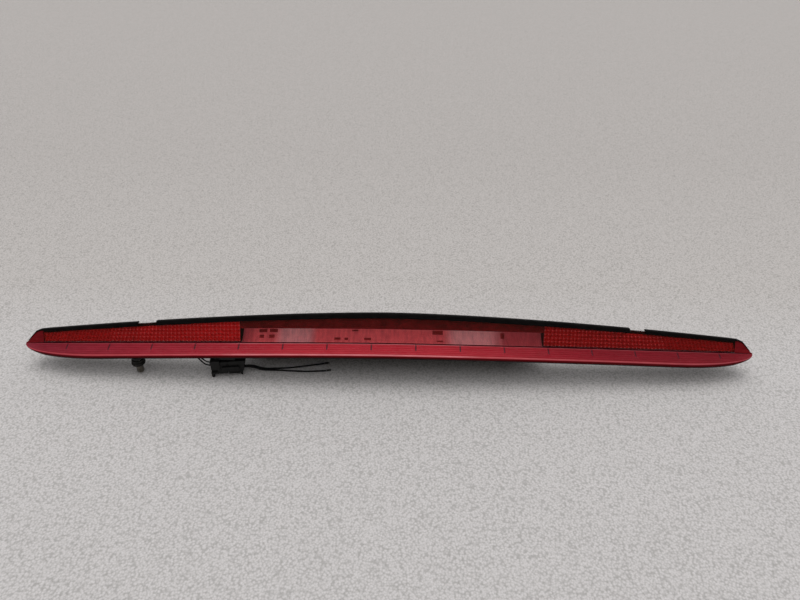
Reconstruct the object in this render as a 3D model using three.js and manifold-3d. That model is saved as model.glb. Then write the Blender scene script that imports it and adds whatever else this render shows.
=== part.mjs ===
// Full-width third brake light: a slim bowed lamp bar for the rear edge of a boot lid.
// Millimetres. +X is the long way, the lens faces -Y, +Z is up, and z = 0 is what the lamp stands on.
import * as THREE from 'three';
import { mergeVertices } from 'three/addons/utils/BufferGeometryUtils.js';
import Module from 'manifold-3d';

const wasm = await Module();
wasm.setup();

// ---------- driving dimensions ----------
const HALF_LENGTH = 475;
const TIP_HEIGHT = 28;
const SEAM_BOW = 14;
const SEAM_RISE = 19.1;
const SEAM_POWER = 1.75;
const FACE_ANGLE = THREE.MathUtils.degToRad(65);
const FACE_MID = 39.5;
const FACE_DROP = 21.3;
const FACE_POWER = 1.6;
const END_SLANT = 17;
const LEDGE_ANGLE = THREE.MathUtils.degToRad(15);
const LEDGE_MID = 20;
const LEDGE_END = 22.8;
const LEDGE_STRAIGHT = 370;
const LENS_WALL = 2.5;
const LENS_LIP = 3.4;
const HOUSING_WALL = 2.2;
const HOUSING_HALF = 469;
const BODY_DEPTH = 12;
const BODY_STRAIGHT = 380;
const BELLY_HALF = 200;
const BELLY_FRONT = 13;
const BELLY_BACK = 30;
const BELLY_FLAT = 168;
const BELLY_RAMP = 0.7;
const ROOF_SLOPE = 0.5;
const WINDOW_HALF = 198;
const RIM_SHARE = 0.12;
const RIM_LEAST = 4.1;
const BAND_MID = 6.5;
const BAND_DROP = 4.1;
const GAP = 0.3;
const NOTCH_INNER = { left: 298, right: 308 };
const NOTCH_OUTER = { left: 323, right: 329 };
const LED_COUNT = 12;
const LED_PITCH = 31;
const STUD_RADIUS = 2.4;
const WIRE_RADIUS = 0.95;
const TAIL_RADIUS = 1.1;

// The connector stands under the left half of the lamp, turned a little about the vertical.
const PLUG_X = -207.8;
const PLUG_Y = -21.3;
const PLUG_YAW = THREE.MathUtils.degToRad(8);
const TERMINAL_Z = 17.6;
const TERMINAL_Y = 3;

// ---------- materials ----------
const material = (color, roughness, metalness = 0) =>
  new THREE.MeshStandardMaterial({ color, roughness, metalness });
const RED_LENS = material(0xa01020, 0.15);
const RED_PRISM = material(0xc01420, 0.2);
const BLACK_ABS = material(0x16161a, 0.55);
const BLACK_NYLON = material(0x101012, 0.45);
const BLACK_RUBBER = material(0x141414, 0.85);
const GREY_FOAM = material(0x2a2a2c, 0.95);
const ALUMINISED = material(0xc9c6c2, 0.2, 0.9);
const CIRCUIT_BOARD = material(0x1f5a34, 0.5);
const LED_RESIN = material(0xd8c8b8, 0.2);
const PLATED_STEEL = material(0xb4b0a6, 0.35, 0.9);
const TINNED_BRASS = material(0xc8c2b0, 0.3, 0.9);
const WIRE_PVC = material(0x121214, 0.5);

// ---------- the lamp's outline, as functions of the place along its length ----------
const share = (x) => Math.abs(x) / HALF_LENGTH;
const seamY = (x) => -SEAM_BOW * (1 - share(x) ** 2);
const seamZ = (x) => TIP_HEIGHT + SEAM_RISE * (1 - share(x) ** SEAM_POWER);

// Walls thin down over the last stretch, where the bar runs out to its tips.
const taper = (x) => Math.min(1, (HALF_LENGTH - Math.abs(x) + 3) / 33);

function smoothMin(a, b, blend) {
  const mix = THREE.MathUtils.clamp(0.5 + (0.5 * (b - a)) / blend, 0, 1);
  return THREE.MathUtils.lerp(b, a, mix) - blend * mix * (1 - mix);
}

function bandHeight(x) {
  return (BAND_MID - BAND_DROP * share(x) ** 3) * taper(x);
}
const bandProud = (x) => 0.4 * bandHeight(x);

function lensHeight(x) {
  const full = FACE_MID - FACE_DROP * (Math.abs(x) / (HALF_LENGTH - END_SLANT)) ** FACE_POWER;
  const end = smoothMin((HALF_LENGTH - Math.abs(x)) / END_SLANT, 1, 0.25);
  return Math.max(full * end - bandProud(x), 1.2);
}

function ledgeWidth(x) {
  const past = Math.max(0, Math.abs(x) - LEDGE_STRAIGHT) / (HALF_LENGTH - LEDGE_STRAIGHT);
  const full = THREE.MathUtils.lerp(LEDGE_MID, LEDGE_END, share(x) ** 2);
  return Math.max(full * Math.sqrt(Math.max(0, 1 - past ** 2)), 1.2);
}

// A point of the steep face: up from the seam, and inward from the outer surface.
const onFace = (x, up, inward) => [
  seamY(x) + up * Math.cos(FACE_ANGLE) + inward * Math.sin(FACE_ANGLE),
  seamZ(x) + up * Math.sin(FACE_ANGLE) - inward * Math.cos(FACE_ANGLE),
];
// A point of the ledge: forward from the seam, and down from the outer surface.
const onLedge = (x, forward, down) => [
  seamY(x) - forward * Math.cos(LEDGE_ANGLE) + down * Math.sin(LEDGE_ANGLE),
  seamZ(x) - forward * Math.sin(LEDGE_ANGLE) - down * Math.cos(LEDGE_ANGLE),
];
// Where the insides of the face and the ledge meet, at one wall depth from both.
function insideSeam(x, depth) {
  const turn = (FACE_ANGLE - LEDGE_ANGLE) / 2;
  const middle = (FACE_ANGLE + LEDGE_ANGLE) / 2;
  const reach = depth / Math.cos(turn);
  return [seamY(x) + reach * Math.sin(middle), seamZ(x) - reach * Math.cos(middle)];
}
const nose = (x) => onLedge(x, ledgeWidth(x), 0);
const rimDepth = (x) => Math.max(RIM_SHARE * lensHeight(x), RIM_LEAST * taper(x));
const floorTop = (x) => nose(x)[1] - LENS_LIP * taper(x) - GAP;
const floorBottom = (x) => floorTop(x) - HOUSING_WALL * taper(x);

function backY(x) {
  const past = Math.max(0, Math.abs(x) - BODY_STRAIGHT) / (HALF_LENGTH - BODY_STRAIGHT);
  return onFace(x, lensHeight(x), 0)[0] + BODY_DEPTH * Math.sqrt(1 - past ** 2);
}

// ---------- geometry helpers ----------
// An extrusion along X whose rings are moved to the section of the place where they stand.
function loft(section, start, end, steps) {
  const middle = section((start + end) / 2);
  const shape = new THREE.Shape(middle.map(([y, z]) => new THREE.Vector2(y, z)));
  const geometry = new THREE.ExtrudeGeometry(shape, { depth: 1, steps, bevelEnabled: false });
  const from = Math.asin(start / HALF_LENGTH);
  const to = Math.asin(end / HALF_LENGTH);
  const rings = [];
  for (let k = 0; k <= steps; k += 1) {
    const x = HALF_LENGTH * Math.sin(THREE.MathUtils.lerp(from, to, k / steps));
    rings.push({ x, points: section(x) });
  }
  const position = geometry.attributes.position;
  for (let i = 0; i < position.count; i += 1) {
    const distances = middle.map(([y, z]) => Math.hypot(y - position.getX(i), z - position.getY(i)));
    const corner = distances.indexOf(Math.min(...distances));
    const ring = rings[Math.round(position.getZ(i) * steps)];
    position.setXYZ(i, ring.x, ring.points[corner][0], ring.points[corner][1]);
  }
  return geometry;
}

// A three.js geometry as a solid for joining and cutting.
function toSolid(geometry) {
  const bare = geometry.clone();
  bare.deleteAttribute('normal');
  bare.deleteAttribute('uv');
  const merged = mergeVertices(bare, 1e-4);
  const corners = merged.index.array;
  const triangles = [];
  for (let i = 0; i < corners.length; i += 3) {
    const [a, b, c] = [corners[i], corners[i + 1], corners[i + 2]];
    if (a !== b && b !== c && c !== a) triangles.push(a, b, c);
  }
  return new wasm.Manifold(new wasm.Mesh({
    numProp: 3,
    vertProperties: new Float32Array(merged.attributes.position.array),
    triVerts: new Uint32Array(triangles),
  }));
}

function toGeometry(solid) {
  const mesh = solid.getMesh();
  const geometry = new THREE.BufferGeometry();
  geometry.setAttribute('position', new THREE.BufferAttribute(mesh.vertProperties, 3));
  geometry.setIndex(new THREE.BufferAttribute(mesh.triVerts, 1));
  geometry.computeVertexNormals();
  return geometry;
}

const join = (...geometries) => geometries.map(toSolid).reduce((all, next) => all.add(next));
const cutAway = (solid, ...cutters) =>
  cutters.map(toSolid).reduce((rest, cutter) => rest.subtract(cutter), solid);

// A box from its lowest to its highest corner.
function block([x0, y0, z0], [x1, y1, z1]) {
  const geometry = new THREE.BoxGeometry(x1 - x0, y1 - y0, z1 - z0);
  return geometry.translate((x0 + x1) / 2, (y0 + y1) / 2, (z0 + z1) / 2);
}

// A turned shape about the vertical through (x, y); the profile runs from its lowest point up.
function turned(profile, [x, y], sides = 20) {
  const points = profile.map(([radius, z]) => new THREE.Vector2(radius, z));
  return new THREE.LatheGeometry(points, sides).rotateX(Math.PI / 2).translate(x, y, 0);
}

function rod(radius, [x, y], low, high, sides = 16) {
  return turned([[0, low], [radius, low], [radius, high], [0, high]], [x, y], sides);
}

// A round lead along hand-placed points.
function lead(points, radius, steps) {
  const corners = points.map((p) => new THREE.Vector3(...p));
  const curve = new THREE.CatmullRomCurve3(corners, false, 'centripetal');
  const ring = new THREE.Shape();
  const sides = 8;
  for (let k = 0; k < sides; k += 1) {
    const turn = (k / sides) * 2 * Math.PI;
    if (k === 0) ring.moveTo(radius * Math.cos(turn), radius * Math.sin(turn));
    else ring.lineTo(radius * Math.cos(turn), radius * Math.sin(turn));
  }
  return new THREE.ExtrudeGeometry(ring, { steps, bevelEnabled: false, extrudePath: curve });
}

const lamp = new THREE.Group();

function addTo(group, name, shape, finish) {
  const geometry = shape instanceof THREE.BufferGeometry ? shape : toGeometry(shape);
  const mesh = new THREE.Mesh(geometry, finish);
  mesh.name = name;
  group.add(mesh);
  return mesh;
}
const add = (name, shape, finish) => addTo(lamp, name, shape, finish);

// ---------- outer lens ----------
function lensSection(x) {
  const wall = LENS_WALL * taper(x);
  const width = ledgeWidth(x);
  const height = lensHeight(x);
  const [noseY, noseZ] = nose(x);
  const lip = noseZ - LENS_LIP * taper(x);
  return [
    [noseY + 0.3 * taper(x), lip],
    [noseY, noseZ - 0.8 * taper(x)],
    onLedge(x, width - 0.9 * taper(x), 0),
    onLedge(x, 0, 0),
    onFace(x, height, 0),
    onFace(x, height, wall),
    insideSeam(x, wall),
    onLedge(x, Math.max(width - 1.2 * wall, 0.4 * width), wall),
    [noseY + 1.2 * wall, lip],
  ];
}
add('outer_lens', loft(lensSection, -HALF_LENGTH, HALF_LENGTH, 52), RED_LENS);

// ---------- rear housing ----------
// The rim stands behind the top edge of the lens; the roof runs back from its foot.
function rimFoot(x) {
  return onFace(x, lensHeight(x) - rimDepth(x), LENS_WALL * taper(x) + GAP);
}

// The roof falls towards the back, so that it can't be seen over the trim from in front.
const roofSlant = Math.hypot(1, ROOF_SLOPE);
const roofAt = (x, y) => rimFoot(x)[1] - ROOF_SLOPE * (y - rimFoot(x)[0]);

function housingSection(x, backInside, backOutside, under) {
  const wall = HOUSING_WALL * taper(x);
  const behindLens = LENS_WALL * taper(x) + GAP;
  const height = lensHeight(x);
  const [sin, cos] = [Math.sin(FACE_ANGLE), Math.cos(FACE_ANGLE)];
  const rimRise = (wall * (roofSlant + cos - ROOF_SLOPE * sin)) / (sin + ROOF_SLOPE * cos);
  const rimBack = height - rimDepth(x) + rimRise;
  const front = nose(x)[0] + 2 * taper(x);
  return [
    onFace(x, height, behindLens),
    rimFoot(x),
    [backInside, roofAt(x, backInside)],
    ...under.inside,
    [front, floorTop(x)],
    [front, floorBottom(x)],
    ...under.outside,
    [backOutside, roofAt(x, backOutside) + wall * roofSlant],
    onFace(x, rimBack, behindLens + wall),
    onFace(x, height, behindLens + wall),
  ];
}

function wingSection(x) {
  const back = backY(x);
  const inside = back - HOUSING_WALL * taper(x);
  return housingSection(x, inside, back, {
    inside: [[inside, floorTop(x)]],
    outside: [[back, floorBottom(x)]],
  });
}

// The belly's floor is flat in the middle and ramps up towards both ends.
const bellyFloor = (x) => BELLY_RAMP * Math.max(0, Math.abs(x) - BELLY_FLAT);

function bellySection(x) {
  const low = bellyFloor(x);
  const inside = BELLY_BACK - HOUSING_WALL;
  return housingSection(x, inside, BELLY_BACK, {
    inside: [[inside, low + HOUSING_WALL], [BELLY_FRONT + HOUSING_WALL, low + HOUSING_WALL],
      [BELLY_FRONT + HOUSING_WALL, floorTop(x)]],
    outside: [[BELLY_FRONT, floorBottom(x)], [BELLY_FRONT, low], [BELLY_BACK, low]],
  });
}

// The walls between the window and the side compartments also close the ends of the belly.
// The bulkheads stand behind the prism plates, which run across their front edges.
const BULKHEAD_DEPTH = 5.3;

function bulkheadSection(x) {
  const clear = LENS_WALL + GAP;
  const [footY, footZ] = rimFoot(x);
  const underLedge = onLedge(x, ledgeWidth(x) - 5, clear);
  return [
    onFace(x, lensHeight(x) - rimDepth(x), BULKHEAD_DEPTH),
    insideSeam(x, BULKHEAD_DEPTH),
    underLedge,
    [underLedge[0], floorTop(x) - 1],
    [BELLY_FRONT, floorTop(x) - 1],
    [BELLY_FRONT, bellyFloor(x)],
    [BELLY_BACK, bellyFloor(x)],
    [BELLY_BACK, roofAt(x, BELLY_BACK) + HOUSING_WALL],
    [footY + 1, footZ + 1],
  ];
}

const OUTER_STUD = { x: -323, y: -21.8, seat: 24.4 };
const INNER_STUD = { x: 110, y: -5, seat: 32 };
const LEAD_HOLE = [-250, -14];
const VENT = { x: 260, z: 42 };
const PASS_HOLE = { y: 8, z: 36 };
const SEAT_PAD = { inner: 266, outer: 296, front: -20, back: -4, z: 24.9 };
const CLIP_PAD_Z = 28;

function studBoss(x, y, seat) {
  return turned([[0, seat], [6.5, seat], [6.8, seat + 3.1], [0, seat + 3.1]], [x, y], 16);
}
function seatPad(side) {
  const ends = [side * SEAT_PAD.inner, side * SEAT_PAD.outer].sort((a, b) => a - b);
  return block([ends[0], SEAT_PAD.front, SEAT_PAD.z], [ends[1], SEAT_PAD.back, SEAT_PAD.z + 4]);
}
const acrossX = (radius, length, [x, y, z]) =>
  new THREE.CylinderGeometry(radius, radius, length, 12).rotateZ(Math.PI / 2).translate(x, y, z);
const acrossY = (radius, length, [x, y, z]) =>
  new THREE.CylinderGeometry(radius, radius, length, 16).translate(x, y, z);

const SPARE_BOSS_Y = -12;
const OUTER_BOSSES = [[OUTER_STUD.x, OUTER_STUD.y], [-OUTER_STUD.x, SPARE_BOSS_Y]];
const INNER_BOSSES = [[-INNER_STUD.x, INNER_STUD.y], [INNER_STUD.x, INNER_STUD.y]];
const CLIP_PAD = block([-222, -28, CLIP_PAD_Z], [-196, -8, CLIP_PAD_Z + 4]);

let housing = join(
  loft(bellySection, -BELLY_HALF, BELLY_HALF, 24),
  loft(wingSection, -HOUSING_HALF, -BELLY_HALF + 0.9, 20),
  loft(wingSection, BELLY_HALF - 0.9, HOUSING_HALF, 20),
  loft(bulkheadSection, -BELLY_HALF - 0.2, -WINDOW_HALF, 1),
  loft(bulkheadSection, WINDOW_HALF, BELLY_HALF + 0.2, 1),
  ...OUTER_BOSSES.map(([x, y]) => studBoss(x, y, OUTER_STUD.seat)),
  ...INNER_BOSSES.map(([x, y]) => studBoss(x, y, INNER_STUD.seat)),
  seatPad(-1),
  seatPad(1),
  CLIP_PAD,
);
housing = cutAway(
  housing,
  ...OUTER_BOSSES.map((at) => rod(STUD_RADIUS + GAP, at, 20, 29)),
  ...INNER_BOSSES.map((at) => rod(STUD_RADIUS + GAP, at, 28, 38)),
  rod(3.6, LEAD_HOLE, 25, 34),
  acrossX(3.4, 6, [-WINDOW_HALF - 1, PASS_HOLE.y, PASS_HOLE.z]),
  acrossY(2.8, 8, [VENT.x, backY(VENT.x), VENT.z]),
);
add('rear_housing', housing, BLACK_ABS);

// ---------- what lies behind the clear window ----------
const WINDOW_LEFT = -190.3;
const WINDOW_RIGHT = 197.7;
const PLATE_INNER = { left: 190.8, right: 198.2 };
const TROUGH = {
  front: 4,
  middle: 12,
  reach: 25,
  drop: 15.5,
  wall: 1.4,
  sweep: THREE.MathUtils.degToRad(78),
};

function troughSection(x) {
  const arc = (extra, order) => {
    const points = [];
    const corners = 6;
    for (let k = 0; k <= corners; k += 1) {
      const turn = ((order > 0 ? k : corners - k) / corners) * TROUGH.sweep;
      points.push([
        seamY(x) + TROUGH.front + (TROUGH.reach + extra) * Math.sin(turn),
        seamZ(x) + TROUGH.middle - (TROUGH.drop + extra) * Math.cos(turn),
      ]);
    }
    return points;
  };
  return [...arc(0, 1), ...arc(TROUGH.wall, -1)];
}
// Pairs of small square windows in the trough give the locating pegs of the carrier their place.
const pegWindows = [];
for (const x of [-167, -152.5, 57, 71.5]) {
  pegWindows.push(block([x - 2.5, -3, 30], [x + 2.5, 2, 60]));
}
const trough = cutAway(toSolid(loft(troughSection, WINDOW_LEFT, WINDOW_RIGHT, 12)), ...pegWindows);
add('window_reflector', trough, ALUMINISED);

const CARRIER = { wallDepth: 4, wall: 1.6, foot: 18.2, plateLow: 14.6, plateHigh: 16.2, back: 27 };
const BOARD = { half: 186, front: 14.3, back: 25.5, low: 12.7, high: 14.3 };

function carrierSection(x) {
  const top = lensHeight(x) - rimDepth(x) - 0.6;
  const back = CARRIER.wallDepth + CARRIER.wall;
  const upTo = (z) => (z + back * Math.cos(FACE_ANGLE)) / Math.sin(FACE_ANGLE);
  return [
    onFace(x, CARRIER.foot, CARRIER.wallDepth),
    onFace(x, top, CARRIER.wallDepth),
    onFace(x, top, back),
    onFace(x, upTo(CARRIER.plateHigh), back),
    [seamY(x) + CARRIER.back, seamZ(x) + CARRIER.plateHigh],
    [seamY(x) + CARRIER.back, seamZ(x) + CARRIER.plateLow],
    onFace(x, upTo(CARRIER.plateLow), back),
    onFace(x, CARRIER.foot, back),
  ];
}
const boardSection = (x) => [
  [seamY(x) + BOARD.front, seamZ(x) + BOARD.low],
  [seamY(x) + BOARD.back, seamZ(x) + BOARD.low],
  [seamY(x) + BOARD.back, seamZ(x) + BOARD.high],
  [seamY(x) + BOARD.front, seamZ(x) + BOARD.high],
];
const SCREW_PLACES = [-170.5 + LED_PITCH / 2, 0, 170.5 - LED_PITCH / 2];
const screwAt = (x) => [x, seamY(x) + 22.5];
const screwHole = (x) => rod(1.4, screwAt(x), seamZ(x) + 9, seamZ(x) + 22, 12);
const screwHoles = SCREW_PLACES.map(screwHole);
const carrier = cutAway(toSolid(loft(carrierSection, WINDOW_LEFT, WINDOW_RIGHT, 12)), ...screwHoles);
add('led_carrier', carrier, BLACK_ABS);
const board = cutAway(toSolid(loft(boardSection, -BOARD.half, BOARD.half, 10)), ...screwHoles);
add('led_board', board, CIRCUIT_BOARD);

SCREW_PLACES.forEach((x, index) => {
  const under = seamZ(x) + BOARD.low - GAP;
  const screw = turned([
    [0, under - 1.4], [1.6, under - 1.4], [2.3, under - 0.5], [2.3, under],
    [1.1, under], [1.1, under + 3.4], [0, under + 3.8],
  ], screwAt(x), 12);
  add(`board_screw_${index + 1}`, screw, PLATED_STEEL);
});

for (let k = 0; k < LED_COUNT; k += 1) {
  const x = (k - (LED_COUNT - 1) / 2) * LED_PITCH;
  const top = seamZ(x) + BOARD.low - GAP - 0.2;
  const y = seamY(x) + 19.5;
  const body = block([x - 2.6, y - 2.6, top - 1.1], [x + 2.6, y + 2.6, top]);
  const dome = turned([
    [0, top - 2.6], [1.2, top - 2.3], [1.9, top - 1.5], [1.9, top - 0.6], [0, top - 0.6],
  ], [x, y], 8);
  add(`led_${String(k + 1).padStart(2, '0')}`, join(body, dome), LED_RESIN);
}

// ---------- optics behind the sides and under the ledge ----------
function faceStrip(depth, thickness, low, spare) {
  return (x) => {
    const top = lensHeight(x) - rimDepth(x) - spare;
    return [
      onFace(x, low, depth),
      onFace(x, low, depth + thickness),
      onFace(x, top, depth + thickness),
      onFace(x, top, depth),
    ];
  };
}
const ledgeStrip = (x) => [
  onLedge(x, 4, 2.9),
  onLedge(x, ledgeWidth(x) - 5.5, 2.9),
  onLedge(x, ledgeWidth(x) - 5.5, 4.1),
  onLedge(x, 4, 4.1),
];
const SIDES = [['left', -1], ['right', 1]];
const STRIP_SPLIT = 196;
const SIDE_INNER = 202.5;

// A strip that runs from an inner to an outer place, on either side of the lamp.
function sideLoft(section, side, inner, outer, steps) {
  const ends = [side * inner, side * outer].sort((a, b) => a - b);
  return loft(section, ends[0], ends[1], steps);
}
for (const [name, side] of SIDES) {
  const plate = sideLoft(faceStrip(2.9, 2, 2.5, 0.5), side, PLATE_INNER[name], 452, 18);
  add(`prism_plate_${name}`, plate, RED_PRISM);
  add(`side_reflector_${name}`, sideLoft(faceStrip(8.4, 1.2, 0.5, 1.5), side, SIDE_INNER, 430, 14), ALUMINISED);
  add(`ledge_reflector_${name}`, sideLoft(ledgeStrip, side, SIDE_INNER, 440, 16), ALUMINISED);
}
add('ledge_reflector_centre', loft(ledgeStrip, -STRIP_SPLIT, STRIP_SPLIT, 12), ALUMINISED);

// ---------- edge trim and gaskets ----------
function trimSection(x) {
  const skin = 1.4 * taper(x);
  const height = lensHeight(x);
  const front = -GAP;
  const back = (LENS_WALL + HOUSING_WALL) * taper(x) + 2 * GAP;
  const high = height + bandProud(x) + GAP;
  const low = height - (bandHeight(x) - bandProud(x));
  return [
    onFace(x, low, front - skin),
    onFace(x, high, front - skin),
    onFace(x, high, back),
    onFace(x, height + GAP, back),
    onFace(x, height + GAP, front),
    onFace(x, low, front),
  ];
}
add('edge_trim_centre', loft(trimSection, -NOTCH_INNER.left, NOTCH_INNER.right, 18), BLACK_RUBBER);
for (const [name, side] of SIDES) {
  const trim = sideLoft(trimSection, side, NOTCH_OUTER[name], HOUSING_HALF + 2, 16);
  add(`edge_trim_${name}`, trim, BLACK_RUBBER);
}

function gasketSection(front, back) {
  const thickness = 3;
  return (x) => {
    const top = floorBottom(x) - GAP;
    return [[front, top - thickness], [back, top - thickness], [back, top], [front, top]];
  };
}
add('gasket_centre', loft(gasketSection(4, 11), -192, 192, 12), GREY_FOAM);
for (const [name, side] of SIDES) {
  add(`gasket_${name}`, sideLoft(gasketSection(0, 7), side, 206, 420, 12), GREY_FOAM);
}

// ---------- mounting studs ----------
function stud(x, y, seat, tip) {
  return turned([
    [0, tip], [STUD_RADIUS - 0.6, tip], [STUD_RADIUS, tip + 0.8], [STUD_RADIUS, seat - 1.8],
    [5.2, seat - 1.8], [5.2, seat - GAP], [STUD_RADIUS, seat - GAP], [STUD_RADIUS, seat + 2.8],
    [0, seat + 2.8],
  ], [x, y], 12);
}
add('stud_outer_left', stud(OUTER_STUD.x, OUTER_STUD.y, OUTER_STUD.seat, 0.2), PLATED_STEEL);
add('stud_inner_left', stud(-INNER_STUD.x, INNER_STUD.y, INNER_STUD.seat, 18), PLATED_STEEL);
add('stud_inner_right', stud(INNER_STUD.x, INNER_STUD.y, INNER_STUD.seat, 18), PLATED_STEEL);

const BUSH_TOP = OUTER_STUD.seat - 1.8 - GAP;
const BUSH_LOW = BUSH_TOP - 7.6;
const bushBore = STUD_RADIUS + GAP;
add('stud_bush', turned([
  [bushBore, BUSH_LOW], [6.8, BUSH_LOW], [8.6, BUSH_LOW + 1.6], [8.6, BUSH_LOW + 3.4], [6.6, BUSH_LOW + 4.2],
  [6.6, BUSH_LOW + 5.2], [7.9, BUSH_LOW + 5.8], [7.9, BUSH_TOP], [bushBore, BUSH_TOP], [bushBore, BUSH_LOW],
], [OUTER_STUD.x, OUTER_STUD.y], 16), BLACK_RUBBER);

const NUT_TOP = BUSH_LOW - GAP;
const NUT_LOW = 2.4;
const nut = cutAway(
  join(
    rod(4.6, [OUTER_STUD.x, OUTER_STUD.y], NUT_LOW, NUT_TOP, 6),
    rod(5.6, [OUTER_STUD.x, OUTER_STUD.y], NUT_TOP - 1.2, NUT_TOP, 20),
  ),
  rod(STUD_RADIUS + GAP, [OUTER_STUD.x, OUTER_STUD.y], 0, 20, 20),
);
add('stud_nut', nut, PLATED_STEEL);

// ---------- breather ----------
const ventBack = backY(VENT.x);
const ventCap = join(
  acrossY(2.4, 5, [VENT.x, ventBack - 0.2, VENT.z]),
  acrossY(5, 1.6, [VENT.x, ventBack + 1.2, VENT.z]),
);
add('vent_cap', ventCap, BLACK_RUBBER);

// ---------- supply leads, from the board out through the floor to the socket ----------
const gland = floorBottom(LEAD_HOLE[0]);
add('lead_grommet', turned([
  [2.3, gland - 2.4], [4.4, gland - 2.4], [5.2, gland - 0.5], [3.2, gland - 0.4], [3.2, gland + 2.7],
  [4.6, gland + 2.7], [4.2, gland + 3.1], [2.3, gland + 3.1], [2.3, gland - 2.4],
], LEAD_HOLE, 14), BLACK_RUBBER);

const LEADS = [['positive', -1], ['negative', 1]];
for (const [name, side] of LEADS) {
  const apart = 1.15 * side;
  const route = [
    [-181 + 3 * side, 12, 54.6], [-182 + 3 * side, 17, 54.8], [-184 + 2.2 * side, 21.2, 52.5],
    [-186 + 1.6 * side, 22, 46], [-190 + apart, 17 - apart, 38.2], [-198, 8.6 - apart, 36],
    [-206, 5 - apart, 36], [-225, -2 - apart, 35.8], [-241, -9 - apart, 35.3], [-247.4, -12.8 - apart, 34.9],
    [-250, -14 - apart, 33], [-250, -14 - apart, 26], [-248.4, -14.8 - 1.3 * apart, 22.8],
    [-243, -18 - 1.9 * apart, 20.2], [-236, -22.4 - 2.3 * apart, 18.2],
    [-229 + 0.4 * side, -24.3 - 2.6 * apart, TERMINAL_Z],
  ];
  add(`lead_${name}`, lead(route, WIRE_RADIUS, 36), WIRE_PVC);
}

// ---------- connector: socket on the lamp, plug on the harness side ----------
// Its own frame: x along the mating line towards the harness, y to the back, z up.
const connector = new THREE.Group();
connector.position.set(PLUG_X, PLUG_Y, 0);
connector.rotation.z = PLUG_YAW;
lamp.add(connector);
const HALF_DEPTH = 7.2;

const sideProfile = (outline, depth) => {
  const shape = new THREE.Shape(outline.map(([x, z]) => new THREE.Vector2(x, z)));
  return new THREE.ExtrudeGeometry(shape, { depth: 2 * depth, bevelEnabled: false })
    .rotateX(Math.PI / 2).translate(0, depth, 0);
};
const terminalSlots = [-TERMINAL_Y, TERMINAL_Y].map((y) =>
  block([-30, y - 1.9, TERMINAL_Z - 1.1], [0, y + 1.9, TERMINAL_Z + 1.1]));
const socket = cutAway(
  join(
    block([-13, -HALF_DEPTH, 6], [0, HALF_DEPTH, 24.6]),
    block([-21.5, -HALF_DEPTH, 6], [-12, HALF_DEPTH, 8.4]),
    block([-21.5, -HALF_DEPTH, 22.4], [-12, HALF_DEPTH, 24.6]),
    block([-21.5, 4.9 + GAP, 7], [-12, HALF_DEPTH, 23]),
    sideProfile([[-21.5, 6.5], [-21.5, 2], [-20.4, 0.2], [-18.6, 0.2], [-16.4, 6.5]], 6.4),
  ),
  block([-8, -5.6, 11.4], [1, 5.6, 22.4]),
  ...terminalSlots,
);
addTo(connector, 'socket_housing', socket, BLACK_NYLON);

const clip = join(
  block([-20.5, -9.2, 25], [-9, 9.2, CLIP_PAD_Z - 0.4]),
  block([-20.5, -9.2, 14], [-9, -7.5, 26]),
  block([-20.5, 7.5, 14], [-9, 9.2, 26]),
);
addTo(connector, 'connector_clip', clip, BLACK_NYLON);

const tongue = block([-7.5, -5.2, 11.8], [2, 5.2, 22]);
const plugShell = sideProfile([
  [0.6, 5], [17.4, 5], [20.6, 11.5], [21.2, 20], [23, 20.5], [23, 24.6], [0.6, 24.6],
], HALF_DEPTH);
const plugFoot = sideProfile([[13.6, 6], [16.2, 0.4], [17.4, 0.4], [18.2, 7]], 5.4);
const terminalChannels = [-TERMINAL_Y, TERMINAL_Y].map((y) =>
  block([-8, y - 2.2, TERMINAL_Z - 1.8], [12, y + 2.2, TERMINAL_Z + 1.8]));
const TAIL_EXIT_Z = 10;
const TAIL_Y = 1.35;
const tailBores = [-TAIL_Y, TAIL_Y].map((y) => acrossX(TAIL_RADIUS + GAP, 7, [19.5, y, TAIL_EXIT_Z]));
const pivotPost = block([4, -8.1, 12.6], [6, -6.8, 16.4]);
const plug = cutAway(join(tongue, plugShell, plugFoot, pivotPost), ...terminalChannels, ...tailBores);
addTo(connector, 'plug_housing', plug, BLACK_NYLON);

[['positive', TERMINAL_Y], ['negative', -TERMINAL_Y]].forEach(([name, y]) => {
  const pin = join(
    acrossX(1.55, 6.5, [-17.6, y, TERMINAL_Z]),
    block([-15, y - 1.4, TERMINAL_Z - 0.4], [-1.5, y + 1.4, TERMINAL_Z + 0.4]),
  );
  addTo(connector, `socket_terminal_${name}`, pin, TINNED_BRASS);
  const sleeve = toSolid(block([-6.5, y - 1.9, TERMINAL_Z - 1.4], [11.4, y + 1.9, TERMINAL_Z + 1.4]));
  const bore = block([-7, y - 1.7, TERMINAL_Z - 0.8], [10, y + 1.7, TERMINAL_Z + 0.8]);
  addTo(connector, `plug_terminal_${name}`, cutAway(sleeve, bore), TINNED_BRASS);
});

const latch = join(
  block([-7, -9.7, 11.5], [14.5, -8.5, 17.5]),
  block([-7, -8.9, 11.5], [-5.6, -7.7, 17.5]),
  block([12.5, -10.4, 11.5], [14.5, -9, 17.5]),
);
addTo(connector, 'plug_latch', latch, BLACK_NYLON);

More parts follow.
